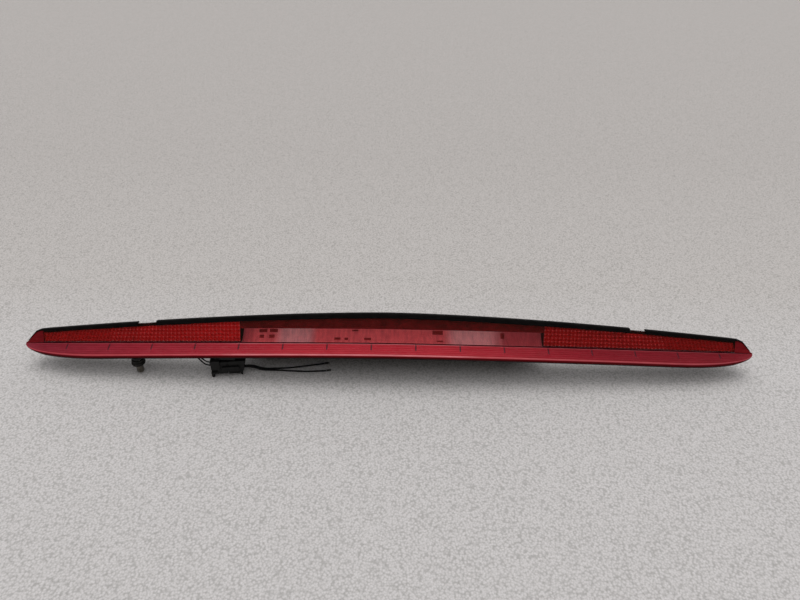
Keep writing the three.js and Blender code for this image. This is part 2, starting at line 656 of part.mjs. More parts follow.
// ---------- harness tails, cut short, lying on the surface ----------
const forward = new THREE.Vector2(Math.cos(PLUG_YAW), Math.sin(PLUG_YAW));
const sideways = new THREE.Vector2(-forward.y, forward.x);
function atPlug(along, across, z) {
  return [
    PLUG_X + along * forward.x + across * sideways.x,
    PLUG_Y + along * forward.y + across * sideways.y,
    z,
  ];
}
const TAILS = {
  front: {
    across: -TAIL_Y,
    route: [
      [-175, -17.9, 7.2], [-168, -16.8, 3.4], [-161, -16, 1.6], [-152, -15.6, 1.22], [-141, -15.9, 1.2],
      [-128, -16.8, 1.2], [-114, -17.4, 1.2], [-100, -17, 1.2], [-88, -15.8, 1.2], [-82.5, -15.1, 1.2],
    ],
    tip: [[-82.2, -15.06, 1.4], [-76, -14.2, 1.4]],
  },
  rear: {
    across: TAIL_Y,
    route: [
      [-175, -15.2, 7.4], [-168, -13.9, 3.6], [-161, -13, 1.65], [-152, -12.4, 1.22], [-141, -11.7, 1.2],
      [-128, -10, 1.2], [-114, -7.3, 1.2], [-100, -4.4, 1.2], [-90, -2.2, 1.2], [-86, -1.3, 1.2],
    ],
    tip: [[-85.7, -1.23, 1.4], [-79.6, 0.2, 1.4]],
  },
};
for (const [name, tail] of Object.entries(TAILS)) {
  const start = [atPlug(16.4, tail.across, TAIL_EXIT_Z), atPlug(20.6, tail.across, TAIL_EXIT_Z),
    atPlug(25, tail.across, TAIL_EXIT_Z - 0.3)];
  add(`tail_${name}`, lead([...start, ...tail.route], TAIL_RADIUS, 24), WIRE_PVC);
  add(`tail_end_${name}`, lead(tail.tip, 1.3, 2), TINNED_BRASS);
}

// The origin is midway between the nose and the back of the belly.
lamp.position.y = -(nose(0)[0] + BELLY_BACK) / 2;

export default lamp;
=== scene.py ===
"""Looks of the third brake light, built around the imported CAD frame.

Shapes are worked out in millimetres, with the outline functions that part.mjs uses, and turned into metres
when a mesh or curve is made. +X is the long way, the lens faces -Y, +Z is up, and z = 0 is the surface.
"""
from math import cos, pi, radians, sin, sqrt

import bmesh
import bpy
from mathutils import Matrix, Vector, noise


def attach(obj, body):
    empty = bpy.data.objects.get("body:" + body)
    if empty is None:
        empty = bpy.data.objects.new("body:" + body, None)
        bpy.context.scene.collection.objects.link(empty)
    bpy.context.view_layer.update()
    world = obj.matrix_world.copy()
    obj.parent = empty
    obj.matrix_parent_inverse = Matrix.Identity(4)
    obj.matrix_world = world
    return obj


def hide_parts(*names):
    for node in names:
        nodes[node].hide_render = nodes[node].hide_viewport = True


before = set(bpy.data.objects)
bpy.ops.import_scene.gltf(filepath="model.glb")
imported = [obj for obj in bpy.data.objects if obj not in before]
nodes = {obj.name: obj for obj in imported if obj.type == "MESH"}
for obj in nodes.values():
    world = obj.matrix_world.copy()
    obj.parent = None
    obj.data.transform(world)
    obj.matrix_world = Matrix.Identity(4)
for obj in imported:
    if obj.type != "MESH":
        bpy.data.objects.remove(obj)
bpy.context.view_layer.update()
scene = bpy.context.scene
MM = 0.001

# --- the lamp's outline, as in part.mjs ---
HALF_LENGTH = 475.0
TIP_HEIGHT = 28.0
SEAM_BOW = 14.0
SEAM_RISE = 19.1
SEAM_POWER = 1.75
FACE_ANGLE = radians(65)
FACE_MID = 39.5
FACE_DROP = 21.3
FACE_POWER = 1.6
END_SLANT = 17.0
END_BLEND = 0.25
THINNEST = 1.2
TAPER_LENGTH = 33.0
TAPER_BLUNT = 3.0
LEDGE_ANGLE = radians(15)
LEDGE_MID = 20.0
LEDGE_END = 22.8
LEDGE_STRAIGHT = 370.0
LENS_WALL = 2.5
LENS_LIP = 3.4
HOUSING_WALL = 2.2
HOUSING_HALF = 469.0
BODY_DEPTH = 12.0
BODY_STRAIGHT = 380.0
BELLY_BACK = 30.0
WINDOW_LEFT = -190.3
WINDOW_RIGHT = 197.7
RIM_SHARE = 0.12
RIM_LEAST = 4.1
BAND_MID = 6.5
BAND_DROP = 4.1
BAND_PROUD = 0.4
GAP = 0.3
LED_PITCH = 31.0
SHIFT = (SEAM_BOW + LEDGE_MID * cos(LEDGE_ANGLE) - BELLY_BACK) / 2


def share(x):
    return min(abs(x) / HALF_LENGTH, 1.0)


def seam_y(x):
    return SHIFT - SEAM_BOW * (1 - share(x) ** 2)


def seam_z(x):
    return TIP_HEIGHT + SEAM_RISE * (1 - share(x) ** SEAM_POWER)


def taper(x):
    return min(1.0, (HALF_LENGTH - min(abs(x), HALF_LENGTH) + TAPER_BLUNT) / TAPER_LENGTH)


def clamp(value, low=0.0, high=1.0):
    return max(low, min(high, value))


def mix(a, b, part):
    return a + (b - a) * part


def smooth_min(a, b, blend):
    part = clamp(0.5 + 0.5 * (b - a) / blend)
    return mix(b, a, part) - blend * part * (1 - part)


def band_height(x):
    return (BAND_MID - BAND_DROP * share(x) ** 3) * taper(x)


def band_proud(x):
    return BAND_PROUD * band_height(x)


def lens_height(x):
    full = FACE_MID - FACE_DROP * (abs(x) / (HALF_LENGTH - END_SLANT)) ** FACE_POWER
    end = smooth_min((HALF_LENGTH - abs(x)) / END_SLANT, 1, END_BLEND)
    return max(full * end - band_proud(x), THINNEST)


def ledge_width(x):
    past = clamp((abs(x) - LEDGE_STRAIGHT) / (HALF_LENGTH - LEDGE_STRAIGHT))
    full = mix(LEDGE_MID, LEDGE_END, share(x) ** 2)
    return max(full * sqrt(max(0.0, 1 - past**2)), THINNEST)


def on_face(x, up, inward=0.0):
    return (
        x,
        seam_y(x) + up * cos(FACE_ANGLE) + inward * sin(FACE_ANGLE),
        seam_z(x) + up * sin(FACE_ANGLE) - inward * cos(FACE_ANGLE),
    )


def on_ledge(x, forward, down=0.0):
    return (
        x,
        seam_y(x) - forward * cos(LEDGE_ANGLE) + down * sin(LEDGE_ANGLE),
        seam_z(x) - forward * sin(LEDGE_ANGLE) - down * cos(LEDGE_ANGLE),
    )


def inside_seam(x, depth):
    turn = (FACE_ANGLE - LEDGE_ANGLE) / 2
    middle = (FACE_ANGLE + LEDGE_ANGLE) / 2
    reach = depth / cos(turn)
    return (x, seam_y(x) + reach * sin(middle), seam_z(x) - reach * cos(middle))


def nose(x):
    return on_ledge(x, ledge_width(x))


def rim_depth(x):
    return max(RIM_SHARE * lens_height(x), RIM_LEAST * taper(x))


def floor_top(x):
    return nose(x)[2] - LENS_LIP * taper(x) - GAP


def floor_bottom(x):
    return floor_top(x) - HOUSING_WALL * taper(x)


def back_y(x):
    past = clamp((abs(x) - BODY_STRAIGHT) / (HALF_LENGTH - BODY_STRAIGHT))
    return on_face(x, lens_height(x))[1] + BODY_DEPTH * sqrt(1 - past**2)


# --- camera ---
VIEW_DOWN = radians(35)
VIEW_DISTANCE = 0.822
VIEW_ASIDE = 0.0131
VIEW_ABOVE = 0.0635
VIEW_ROLL = radians(0.87)
FOCAL_LENGTH = 28.26
SENSOR_WIDTH = 36.0

camera_data = bpy.data.cameras.new("camera")
camera_data.lens = FOCAL_LENGTH
camera_data.sensor_width = SENSOR_WIDTH
camera = bpy.data.objects.new("camera", camera_data)
scene.collection.objects.link(camera)
scene.camera = camera
aim = Vector((0, cos(VIEW_DOWN), -sin(VIEW_DOWN)))
above = Vector((0, sin(VIEW_DOWN), cos(VIEW_DOWN)))
target = Vector((0, SHIFT * MM, TIP_HEIGHT * MM))
spot = target - VIEW_DISTANCE * aim + Vector((VIEW_ASIDE, 0, 0)) + VIEW_ABOVE * above
turn_to_view = Matrix.Rotation(pi / 2 - VIEW_DOWN, 4, "X")
camera.matrix_world = Matrix.Translation(spot) @ turn_to_view @ Matrix.Rotation(VIEW_ROLL, 4, "Z")


# --- node materials ---
# The Mix node's colour sockets share their names with its number sockets, so they go by their places.
MIX_FIRST, MIX_SECOND, MIX_RESULT = 6, 7, 2
# Most of a noise texture's values lie between these two.
NOISE_LOW, NOISE_HIGH = 0.3, 0.7


class Looks:
    """One Principled material whose colour, roughness and bump vary through procedural nodes."""

    def __init__(self, name, **sockets):
        self.material = bpy.data.materials.new(name)
        self.material.use_nodes = True
        self.tree = self.material.node_tree
        self.shader = self.tree.nodes["Principled BSDF"]
        for socket, value in sockets.items():
            self.shader.inputs[socket.replace("_", " ")].default_value = value
        self.place = self.tree.nodes.new("ShaderNodeTexCoord").outputs["Object"]
        self.normal = None

    def node(self, kind, **settings):
        made = self.tree.nodes.new("ShaderNode" + kind)
        for key, value in settings.items():
            socket = key.replace("_", " ")
            if socket in made.inputs:
                made.inputs[socket].default_value = value
            else:
                setattr(made, key, value)
        return made

    def link(self, source, sink):
        self.tree.links.new(source, sink)

    def stretched(self, scale):
        mapping = self.node("Mapping", Scale=scale)
        self.link(self.place, mapping.inputs["Vector"])
        return mapping.outputs["Vector"]

    def noise(self, scale, detail=4.0, rough=0.55, stretch=None):
        made = self.node("TexNoise", Scale=scale, Detail=detail, Roughness=rough)
        self.link(self.stretched(stretch) if stretch else self.place, made.inputs["Vector"])
        return made.outputs["Fac"]

    def cells(self, scale, randomness=1.0):
        made = self.node("TexVoronoi", Scale=scale, Randomness=randomness)
        self.link(self.place, made.inputs["Vector"])
        return made.outputs["Distance"]

    def waves(self, scale, direction, distortion):
        made = self.node("TexWave", Scale=scale, Distortion=distortion, bands_direction=direction)
        self.link(self.place, made.inputs["Vector"])
        return made.outputs["Fac"]

    def ramp(self, source, stops):
        made = self.node("ValToRGB")
        while len(made.color_ramp.elements) < len(stops):
            made.color_ramp.elements.new(0.5)
        for element, (at, colour) in zip(made.color_ramp.elements, stops):
            element.position = at
            element.color = (*colour, 1)
        self.link(source, made.inputs["Fac"])
        return made.outputs["Color"]

    def colour(self, source, stops):
        self.link(self.ramp(source, stops), self.shader.inputs["Base Color"])
        return self

    def mixed(self, first, second, kind):
        made = self.node("Mix", data_type="RGBA", blend_type=kind, Factor=1.0)
        self.link(first, made.inputs[MIX_FIRST])
        self.link(second, made.inputs[MIX_SECOND])
        return made

    def blended(self, first, second, source):
        made = self.mixed(first, second, "MIX")
        self.link(source, made.inputs["Factor"])
        return made.outputs[MIX_RESULT]

    def multiplied(self, first, second):
        return self.mixed(first, second, "MULTIPLY").outputs[MIX_RESULT]

    def along(self, axis, start, end):
        """0 to 1 between two places, in metres, along one axis of the object."""
        parts = self.node("SeparateXYZ")
        self.link(self.place, parts.inputs["Vector"])
        made = self.node("MapRange", From_Min=start, From_Max=end)
        self.link(parts.outputs[axis], made.inputs["Value"])
        return made.outputs["Result"]

    def along_bar(self):
        """0 at the left tip of the lamp, 1 at the right tip."""
        return self.along("X", -HALF_LENGTH * MM, HALF_LENGTH * MM)

    def roughness(self, source, low, high):
        made = self.node("MapRange", From_Min=NOISE_LOW, From_Max=NOISE_HIGH, To_Min=low, To_Max=high)
        self.link(source, made.inputs["Value"])
        self.link(made.outputs["Result"], self.shader.inputs["Roughness"])
        return self

    def bump(self, source, depth, strength=1.0):
        made = self.node("Bump", Strength=strength, Distance=depth)
        self.link(source, made.inputs["Height"])
        if self.normal is not None:
            self.link(self.normal, made.inputs["Normal"])
        self.normal = made.outputs["Normal"]
        self.link(self.normal, self.shader.inputs["Normal"])
        return self


def acrylic(name, dark, bright, rough, transmission=0.0, coat=0.0, shine=0.5, places=()):
    """Red acrylic with faint flow streaks; places, when given, is painted light and shade: it makes the
    colour brighter or darker from the left tip to the right one.
    """
    looks = Looks(
        f"{name}_acrylic", IOR=1.49, Transmission_Weight=transmission, Coat_Weight=coat, Coat_Roughness=0.06,
        Specular_IOR_Level=shine,
    )
    streaks = looks.ramp(looks.noise(1.0, 3, 0.6, stretch=(60, 300, 300)), [(0.3, dark), (0.7, bright)])
    if places:
        # Painted light and shade along the bar.
        streaks = looks.multiplied(streaks, looks.ramp(looks.along_bar(), places))
    looks.link(streaks, looks.shader.inputs["Base Color"])
    looks.roughness(looks.noise(240, 5, 0.65), *rough)
    looks.bump(looks.noise(900, 3), 0.00002, 0.35)
    return looks.material


def at_bar(x):
    return 0.5 + 0.5 * x / HALF_LENGTH


# Painted light and shade on the ledge: full in the middle, darker towards the tips, darkest on the right.
LEDGE_PAINTED_LIGHT = [
    (0.0, (0.46, 0.8, 0.9)), (at_bar(-200), (0.82, 0.9, 0.95)), (at_bar(-120), (1, 1, 1)),
    (at_bar(60), (1, 1, 1)), (at_bar(200), (0.66, 0.6, 0.65)), (at_bar(300), (0.48, 0.5, 0.55)),
    (1.0, (0.46, 0.5, 0.55)),
]
# Painted highlight on the bead by the nose: full from x = -190 to 88 mm, faint towards the tips.
BEAD_PAINTED_HIGHLIGHT = [
    (0.0, (0.62, 0.2, 0.25)), (at_bar(-215), (0.78, 0.35, 0.4)), (at_bar(-190), (1, 1, 1)),
    (at_bar(88), (1, 1, 1)), (at_bar(120), (0.76, 0.4, 0.42)), (1.0, (0.5, 0.2, 0.25)),
]
# Painted light and shade on the prism plates: brightest on the left, darker on the right.
PRISM_PAINTED_LIGHT = [
    (0.0, (0.75, 0.75, 0.75)), (at_bar(-330), (0.8, 0.8, 0.8)), (at_bar(-200), (1, 1, 1)),
    (at_bar(200), (0.68, 0.6, 0.6)), (1.0, (0.6, 0.55, 0.55)),
]
LENS_WINDOW = acrylic(
    "lens_window", (0.94, 0.44, 0.46), (0.98, 0.52, 0.54), (0.02, 0.06), transmission=1.0, shine=0.4
)
LENS_SIDE = acrylic(
    "lens_side", (0.93, 0.28, 0.30), (0.98, 0.34, 0.36), (0.02, 0.06), transmission=1.0, shine=0.4
)
LENS_LEDGE = acrylic(
    "lens_ledge", (0.37, 0.009, 0.02), (0.46, 0.015, 0.031), (0.18, 0.28), shine=0.12, places=LEDGE_PAINTED_LIGHT
)
# The bead's paler red is a painted highlight of the overhead light.
LENS_BEAD_HIGHLIGHT = acrylic(
    "lens_bead_painted_highlight", (0.55, 0.13, 0.15), (0.66, 0.19, 0.21), (0.16, 0.24), shine=0.3, places=BEAD_PAINTED_HIGHLIGHT
)
# The lip under the nose is painted near black: painted shade on the edge that faces down.
LENS_EDGE_SHADE = acrylic("lens_edge_painted_shade", (0.07, 0.001, 0.002), (0.11, 0.002, 0.004), (0.25, 0.4), shine=0.05)
LENS_TIP = acrylic("lens_tip", (0.17, 0.006, 0.010), (0.26, 0.012, 0.018), (0.2, 0.3), shine=0.15)
LENS_GROOVE = acrylic("lens_groove", (0.06, 0.002, 0.008), (0.12, 0.005, 0.015), (0.3, 0.45), shine=0.2)
PRISM_CELL = acrylic(
    "prism_cell", (0.80, 0.10, 0.11), (0.94, 0.14, 0.15), (0.14, 0.3), shine=0.4, places=PRISM_PAINTED_LIGHT
)
# Paler lines and near-white dots where they cross are painted highlights and glints of the prisms.
PRISM_LINE_HIGHLIGHT = acrylic(
    "prism_line_highlight", (0.90, 0.24, 0.25), (1.0, 0.32, 0.33), (0.15, 0.3), coat=0.1, places=PRISM_PAINTED_LIGHT
)
PRISM_DOT_GLINT = acrylic("prism_dot_glint", (1.0, 0.78, 0.76), (1.0, 0.9, 0.88), (0.1, 0.2), coat=0.4)


def moulded(name, low, high, rough, grain=1400, depth=0.00004, shine=0.2):
    """Black or dark mouldings: fine grain, faint dust and uneven gloss."""
    looks = Looks(name, Specular_IOR_Level=shine)
    looks.colour(looks.noise(130, 6, 0.7), [(0.35, low), (0.62, high), (0.8, tuple(1.5 * c for c in high))])
    looks.roughness(looks.noise(75, 5, 0.6), *rough)
    looks.bump(looks.cells(grain), depth, 0.5)
    looks.bump(looks.noise(40, 3), 0.0002, 0.12)
    return looks.material


HOUSING_ABS = moulded("housing_abs", (0.007, 0.007, 0.0075), (0.015, 0.015, 0.0155), (0.42, 0.65))
CARRIER_ABS = moulded("carrier_abs", (0.15, 0.014, 0.018), (0.28, 0.03, 0.036), (0.4, 0.6), 900)
NYLON = moulded("connector_nylon", (0.004, 0.004, 0.004), (0.009, 0.009, 0.0085), (0.36, 0.58), 1800, 0.00003)
RUBBER = moulded(
    "trim_rubber", (0.002, 0.0018, 0.0018), (0.006, 0.005, 0.005), (0.55, 0.8), 1100, 0.00005, shine=0.07
)
BUSH_RUBBER = moulded("bush_rubber", (0.006, 0.006, 0.005), (0.018, 0.016, 0.014), (0.6, 0.85), 900, 0.00006)
WIRE_SKIN = moulded(
    "wire_pvc_skin", (0.003, 0.003, 0.0035), (0.007, 0.007, 0.0075), (0.4, 0.55), 600, 0.00002
)


def foam_looks():
    looks = Looks("gasket_foam", Specular_IOR_Level=0.2)
    looks.colour(looks.cells(1500), [(0.05, (0.012, 0.012, 0.013)), (0.6, (0.05, 0.05, 0.053))])
    looks.roughness(looks.noise(200), 0.85, 0.98)
    looks.bump(looks.cells(1500), 0.0003, 0.9)
    return looks.material


def mirror_looks():
    looks = Looks("reflector_aluminised", Metallic=0.9, IOR=1.5)
    patches = looks.noise(22, 5, 0.6, stretch=(0.5, 1.5, 1.5))
    looks.colour(patches, [(0.35, (0.62, 0.6, 0.58)), (0.65, (0.82, 0.8, 0.78))])
    looks.roughness(looks.noise(90, 4), 0.12, 0.3)
    looks.bump(looks.noise(160, 2), 0.00008, 0.3)
    return looks.material


def trough_looks():
    """Bright lining that glows faintly though it is no lamp, a painted glow; two paler stretches are painted
    reflections, each with faint upright streaks, and it is darker towards both ends of the window.
    """
    # Emission makes the lining glow: painted light.
    looks = Looks("trough_aluminised_painted_glow", Metallic=0.0, IOR=1.5, Specular_IOR_Level=0.4, Emission_Strength=0.13)
    # pale marks the painted reflections; deep is darker towards the window's ends.
    pale, rosy, deep = (0.96, 0.9, 0.91), (0.95, 0.36, 0.39), (0.6, 0.2, 0.24)
    stretches = looks.ramp(looks.along_bar(), [
        (at_bar(-190), deep), (at_bar(-172), rosy), (at_bar(-150), rosy), (at_bar(-138), pale),
        (at_bar(-104), pale), (at_bar(-94), rosy), (at_bar(70), rosy), (at_bar(84), pale),
        (at_bar(128), pale), (at_bar(150), deep),
    ])
    upright = looks.noise(1.0, 3, 0.6, stretch=(260, 60, 60))
    streaks = looks.ramp(upright, [(0.35, (0.78, 0.76, 0.77)), (0.6, (1, 1, 1))])
    lining = looks.multiplied(stretches, streaks)
    looks.link(lining, looks.shader.inputs["Base Color"])
    # The lining's colour also glows: a painted glow.
    looks.link(lining, looks.shader.inputs["Emission Color"])
    looks.roughness(looks.noise(90, 4), 0.3, 0.5)
    looks.bump(looks.noise(160, 2), 0.00008, 0.3)
    return looks.material


TROUGH_GLOW_SKIN = trough_looks()
POCKET_SKIN = moulded("trough_pocket", (0.42, 0.11, 0.12), (0.6, 0.17, 0.18), (0.4, 0.6), 900)
MIRROR_SKIN = mirror_looks()


def board_looks():
    looks = Looks("board_resist", Coat_Weight=0.3, Coat_Roughness=0.2)
    tracks = looks.ramp(looks.waves(210, "Y", 2.5), [(0.45, (0.60, 0.61, 0.57)), (0.55, (0.74, 0.75, 0.71))])
    pads = looks.ramp(looks.cells(190, randomness=0.35), [(0.1, (1, 1, 1)), (0.14, (0, 0, 0))])
    copper = looks.ramp(looks.noise(300), [(0.3, (0.42, 0.38, 0.28)), (0.7, (0.6, 0.55, 0.42))])
    looks.link(looks.blended(tracks, copper, pads), looks.shader.inputs["Base Color"])
    looks.roughness(looks.noise(180), 0.3, 0.5)
    looks.bump(looks.waves(210, "Y", 2.5), 0.00004, 0.6)
    return looks.material


def resin_looks():
    looks = Looks("led_resin_dome", Transmission_Weight=0.35, IOR=1.5)
    looks.colour(looks.noise(700, 3), [(0.3, (0.6, 0.48, 0.34)), (0.7, (0.82, 0.74, 0.6))])
    looks.roughness(looks.noise(500), 0.08, 0.22)
    looks.bump(looks.noise(1500, 2), 0.00002, 0.3)
    return looks.material


def metal(name, low, high, rough, stain=(0.2, 0.15, 0.1)):
    """Plated metal: fine brushing and dull, tarnished patches."""
    looks = Looks(name, Metallic=1.0)
    base = looks.ramp(looks.noise(260, 5, 0.65), [(0.32, low), (0.66, high)])
    patch = looks.ramp(looks.noise(420, 6, 0.7), [(0.58, (0, 0, 0)), (0.72, (0.6, 0.6, 0.6))])
    dull = looks.ramp(looks.noise(90), [(0.3, stain), (0.7, tuple(0.6 * c for c in stain))])
    looks.link(looks.blended(base, dull, patch), looks.shader.inputs["Base Color"])
    looks.roughness(looks.noise(150, 4), *rough)
    looks.bump(looks.noise(1.0, 3, 0.6, stretch=(200, 200, 2500)), 0.00002, 0.5)
    return looks.material


STEEL = metal("zinc_plated_steel", (0.34, 0.32, 0.29), (0.62, 0.6, 0.56), (0.25, 0.5))
WORN_STEEL = metal(
    "worn_dark_steel", (0.07, 0.062, 0.05), (0.2, 0.18, 0.15), (0.3, 0.55), stain=(0.05, 0.035, 0.02)
)
DARK_CRIMP = metal(
    "dark_crimp_skin", (0.02, 0.019, 0.017), (0.06, 0.056, 0.05), (0.35, 0.6), stain=(0.02, 0.015, 0.01)
)
BRASS = metal("tinned_brass_skin", (0.45, 0.42, 0.34), (0.74, 0.71, 0.62), (0.2, 0.42))
FOAM = foam_looks()
BOARD = board_looks()
RESIN = resin_looks()


def floor_looks():
    """The pale sheet that the lamp lies on, with the fine speckle of pressed foam beads and painted shade
    that darkens it further back.
    """
    looks = Looks("pale_sheet", Specular_IOR_Level=0.15)
    beads = looks.ramp(looks.cells(430), [
        (0.0, (0.66, 0.64, 0.645)), (0.45, (0.58, 0.565, 0.565)), (0.85, (0.43, 0.42, 0.415)),
    ])
    clouds = looks.ramp(looks.noise(420, 3, 0.7), [
        (0.3, (0.78, 0.78, 0.76)), (0.5, (0.93, 0.92, 0.92)), (0.7, (1, 1, 1)),
    ])
    # Painted shade: the sheet darkens from 2 cm to 70 cm behind the lamp.
    painted_backdrop_shade = looks.ramp(looks.along("Y", 0.02, 0.7), [
        (0.0, (1, 1, 1)), (0.25, (0.92, 0.905, 0.885)), (1.0, (0.86, 0.84, 0.82)),
    ])
    speckle = looks.multiplied(beads, clouds)
    looks.link(looks.multiplied(speckle, painted_backdrop_shade), looks.shader.inputs["Base Color"])
    looks.roughness(looks.noise(60), 0.7, 0.9)
    looks.bump(looks.cells(430), 0.0001, 0.2)
    return looks.material


# --- building helpers ---
SHARP = 35


def placed(name, data, stands_for, body="lamp"):
    """An object that rides on a body and replaces CAD nodes."""
    piece = bpy.data.objects.new(name, data)
    scene.collection.objects.link(piece)
    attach(piece, body)
    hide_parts(*stands_for)
    return piece


def smoothed(data, sharp=SHARP):
    data.polygons.foreach_set("use_smooth", [True] * len(data.polygons))
    data.set_sharp_from_angle(angle=radians(sharp))


def finish_piece(name, data, stands_for, body="lamp", sharp=SHARP):
    tidy = bmesh.new()
    tidy.from_mesh(data)
    bmesh.ops.recalc_face_normals(tidy, faces=tidy.faces)
    tidy.to_mesh(data)
    tidy.free()
    smoothed(data, sharp)
    return placed(name, data, stands_for, body)


def new_piece(name, verts, faces, skins, slot, stands_for, body="lamp", zones=None, sharp=SHARP):
    """A mesh piece from points in millimetres, with one skin, or several and the zone of every face."""
    data = bpy.data.meshes.new(name)
    data.from_pydata([tuple(c * MM for c in p) for p in verts], [], faces)
    for skin in skins if zones else [skins]:
        data.materials.append(skin)
    if zones:
        data.polygons.foreach_set("material_index", zones)
    return finish_piece(name, data, stands_for, body, sharp)


def thicken(piece, wall):
    """Gives a sheet its wall, behind the side that is seen."""
    solid = piece.modifiers.new("wall", "SOLIDIFY")
    solid.thickness = wall * MM
    solid.offset = -1


def lofted(places, ring_at, zone_at=None):
    """Closed rings of points joined along a row of places, with both ends closed."""
    rings = [ring_at(x) for x in places]
    count = len(rings[0])
    verts = [p for ring in rings for p in ring]
    faces, zones = [], []
    for i in range(len(rings) - 1):
        for k in range(count):
            near, far = i * count, (i + 1) * count
            after = (k + 1) % count
            faces.append((near + k, near + after, far + after, far + k))
            zones.append(zone_at(k, 0.5 * (places[i] + places[i + 1])) if zone_at else 0)
    faces.append(tuple(range(count)))
    faces.append(tuple(range((len(rings) - 1) * count, len(rings) * count)))
    end_zone = zone_at(0, places[0]) if zone_at else 0
    return verts, faces, zones + [end_zone, end_zone]


def spaced(start, end, step):
    count = max(1, round(abs(end - start) / step))
    return [mix(start, end, k / count) for k in range(count + 1)]


WELD = 0.00001
FLAT_ANGLE = 1.2
COPY_SHARP = 30
ROUNDED_ANGLE = 32


def clean_copy(node, name, skin, edge, body="lamp"):
    """A CAD solid's shape as a new piece: flat triangles joined, edges rounded."""
    data = nodes[node].data.copy()
    data.name = name
    data.materials.clear()
    data.materials.append(skin)
    work = bmesh.new()
    work.from_mesh(data)
    bmesh.ops.remove_doubles(work, verts=work.verts, dist=WELD)
    bmesh.ops.dissolve_limit(work, angle_limit=radians(FLAT_ANGLE), verts=work.verts, edges=work.edges)
    work.to_mesh(data)
    work.free()
    piece = finish_piece(name, data, [node], body, COPY_SHARP)
    rounding = piece.modifiers.new("rounding", "BEVEL")
    rounding.width = edge * MM
    rounding.segments = 2
    rounding.limit_method = "ANGLE"
    rounding.angle_limit = radians(ROUNDED_ANGLE)


def turned(profile, centre, sides=48):
    """A closed shape about the vertical. Its profile is (radius, z) pairs, or gives them for a turn."""
    verts, faces = [], []
    for k in range(sides):
        turn = 2 * pi * k / sides
        pairs = profile(turn) if callable(profile) else profile
        for radius, z in pairs:
            verts.append((centre[0] + radius * cos(turn), centre[1] + radius * sin(turn), z))
    count = len(pairs)
    for k in range(sides):
        for j in range(count):
            after = (j + 1) % count
            near, far = k * count, ((k + 1) % sides) * count
            faces.append((near + j, far + j, far + after, near + after))
    return verts, faces


def round_bar(rings, side, up, sides):
    """A bar from (centre, radius) rings that lie along side and up, closed at both ends."""
    verts, faces = [], []
    for centre, radius in rings:
        for k in range(sides):
            turn = 2 * pi * k / sides
            verts.append(tuple(centre + radius * (cos(turn) * side + sin(turn) * up)))
    for i in range(len(rings) - 1):
        for k in range(sides):
            after = (k + 1) % sides
            faces.append((i * sides + k, i * sides + after, (i + 1) * sides + after, (i + 1) * sides + k))
    faces.append(tuple(range(sides)))
    faces.append(tuple(range((len(rings) - 1) * sides, len(rings) * sides)))
    return verts, faces


def merged(*parts):
    verts, faces = [], []
    for part_verts, part_faces in parts:
        start = len(verts)
        verts += part_verts
        faces += [tuple(start + v for v in face) for face in part_faces]
    return verts, faces


def catmull(points, per_span):
    """The centripetal Catmull-Rom curve that part.mjs runs its leads along."""
    spots = [Vector(p) for p in points]
    spots = [2 * spots[0] - spots[1]] + spots + [2 * spots[-1] - spots[-2]]
    path = []
    for i in range(1, len(spots) - 2):
        a, b, c, d = spots[i - 1], spots[i], spots[i + 1], spots[i + 2]
        before, span, after = (b - a).length**0.5, (c - b).length**0.5, (d - c).length**0.5
        out = ((b - a) / before - (c - a) / (before + span) + (c - b) / span) * span
        into = ((c - b) / span - (d - b) / (span + after) + (d - c) / after) * span
        for k in range(per_span):
            t = k / per_span
            path.append(
                (2 * t**3 - 3 * t**2 + 1) * b + (t**3 - 2 * t**2 + t) * out
                + (3 * t**2 - 2 * t**3) * c + (t**3 - t**2) * into
            )
    return path + [spots[-2]]


def wire_piece(name, path, radius, skin, body, stands_for):
    data = bpy.data.curves.new(name, "CURVE")
    data.dimensions = "3D"
    data.bevel_depth = radius * MM
    data.bevel_resolution = 6
    data.use_fill_caps = True
    spline = data.splines.new("POLY")
    spline.points.add(len(path) - 1)
    for point, place in zip(spline.points, path):
        point.co = (place[0] * MM, place[1] * MM, place[2] * MM, 1)
    spline.use_smooth = True
    data.materials.append(skin)
    return placed(name, data, stands_for, body)


# --- harness tails: two cut wires lying on the surface ---
PLUG_X, PLUG_Y = -207.8, -21.3
PLUG_YAW = radians(8)
TAIL_RADIUS = 1.1
TAIL_EXIT, TAIL_EXIT_Z = 18.6, 10.0
TAIL_BEYOND, TAIL_BEYOND_Z = 25.0, 9.7


def at_plug(along, across, z):
    return (
        PLUG_X + along * cos(PLUG_YAW) - across * sin(PLUG_YAW),
        PLUG_Y + along * sin(PLUG_YAW) + across * cos(PLUG_YAW) + SHIFT,
        z,
    )


TAILS = {
    "front": {
        "across": -1.35,
        "route": [
            (-175, -17.9, 7.2), (-168, -16.8, 3.4), (-161, -16, 1.6), (-152, -15.6, 1.22), (-141, -15.9, 1.2),
            (-128, -16.8, 1.2), (-114, -17.4, 1.2), (-100, -17, 1.2), (-88, -15.8, 1.2), (-82.5, -15.1, 1.2),
        ],
        "tip": [(-82.2, -15.06, 1.4), (-76, -14.2, 1.4)],
    },
    "rear": {
        "across": 1.35,
        "route": [
            (-175, -15.2, 7.4), (-168, -13.9, 3.6), (-161, -13, 1.65), (-152, -12.4, 1.22),
            (-141, -11.7, 1.2), (-128, -10, 1.2), (-114, -7.3, 1.2), (-100, -4.4, 1.2),
            (-90, -2.2, 1.2), (-86, -1.3, 1.2),
        ],
        "tip": [(-85.7, -1.23, 1.4), (-79.6, 0.2, 1.4)],
    },
}
SLEEVE = (
    (0.0, 1.12), (0.25, 1.28), (1.6, 1.3), (1.8, 1.18), (2.1, 1.18), (2.3, 1.3), (4.1, 1.3), (4.4, 1.05),
)
SLEEVE_SIDES = 20
STRANDS = 7
STRAND_SIDES = 8
STRAND_RADIUS = 0.3
STRAND_RING = 0.62
STRAND_TWIST = 0.25
STRAND_STEP = 0.25
STRAND_ROOT = 0.6


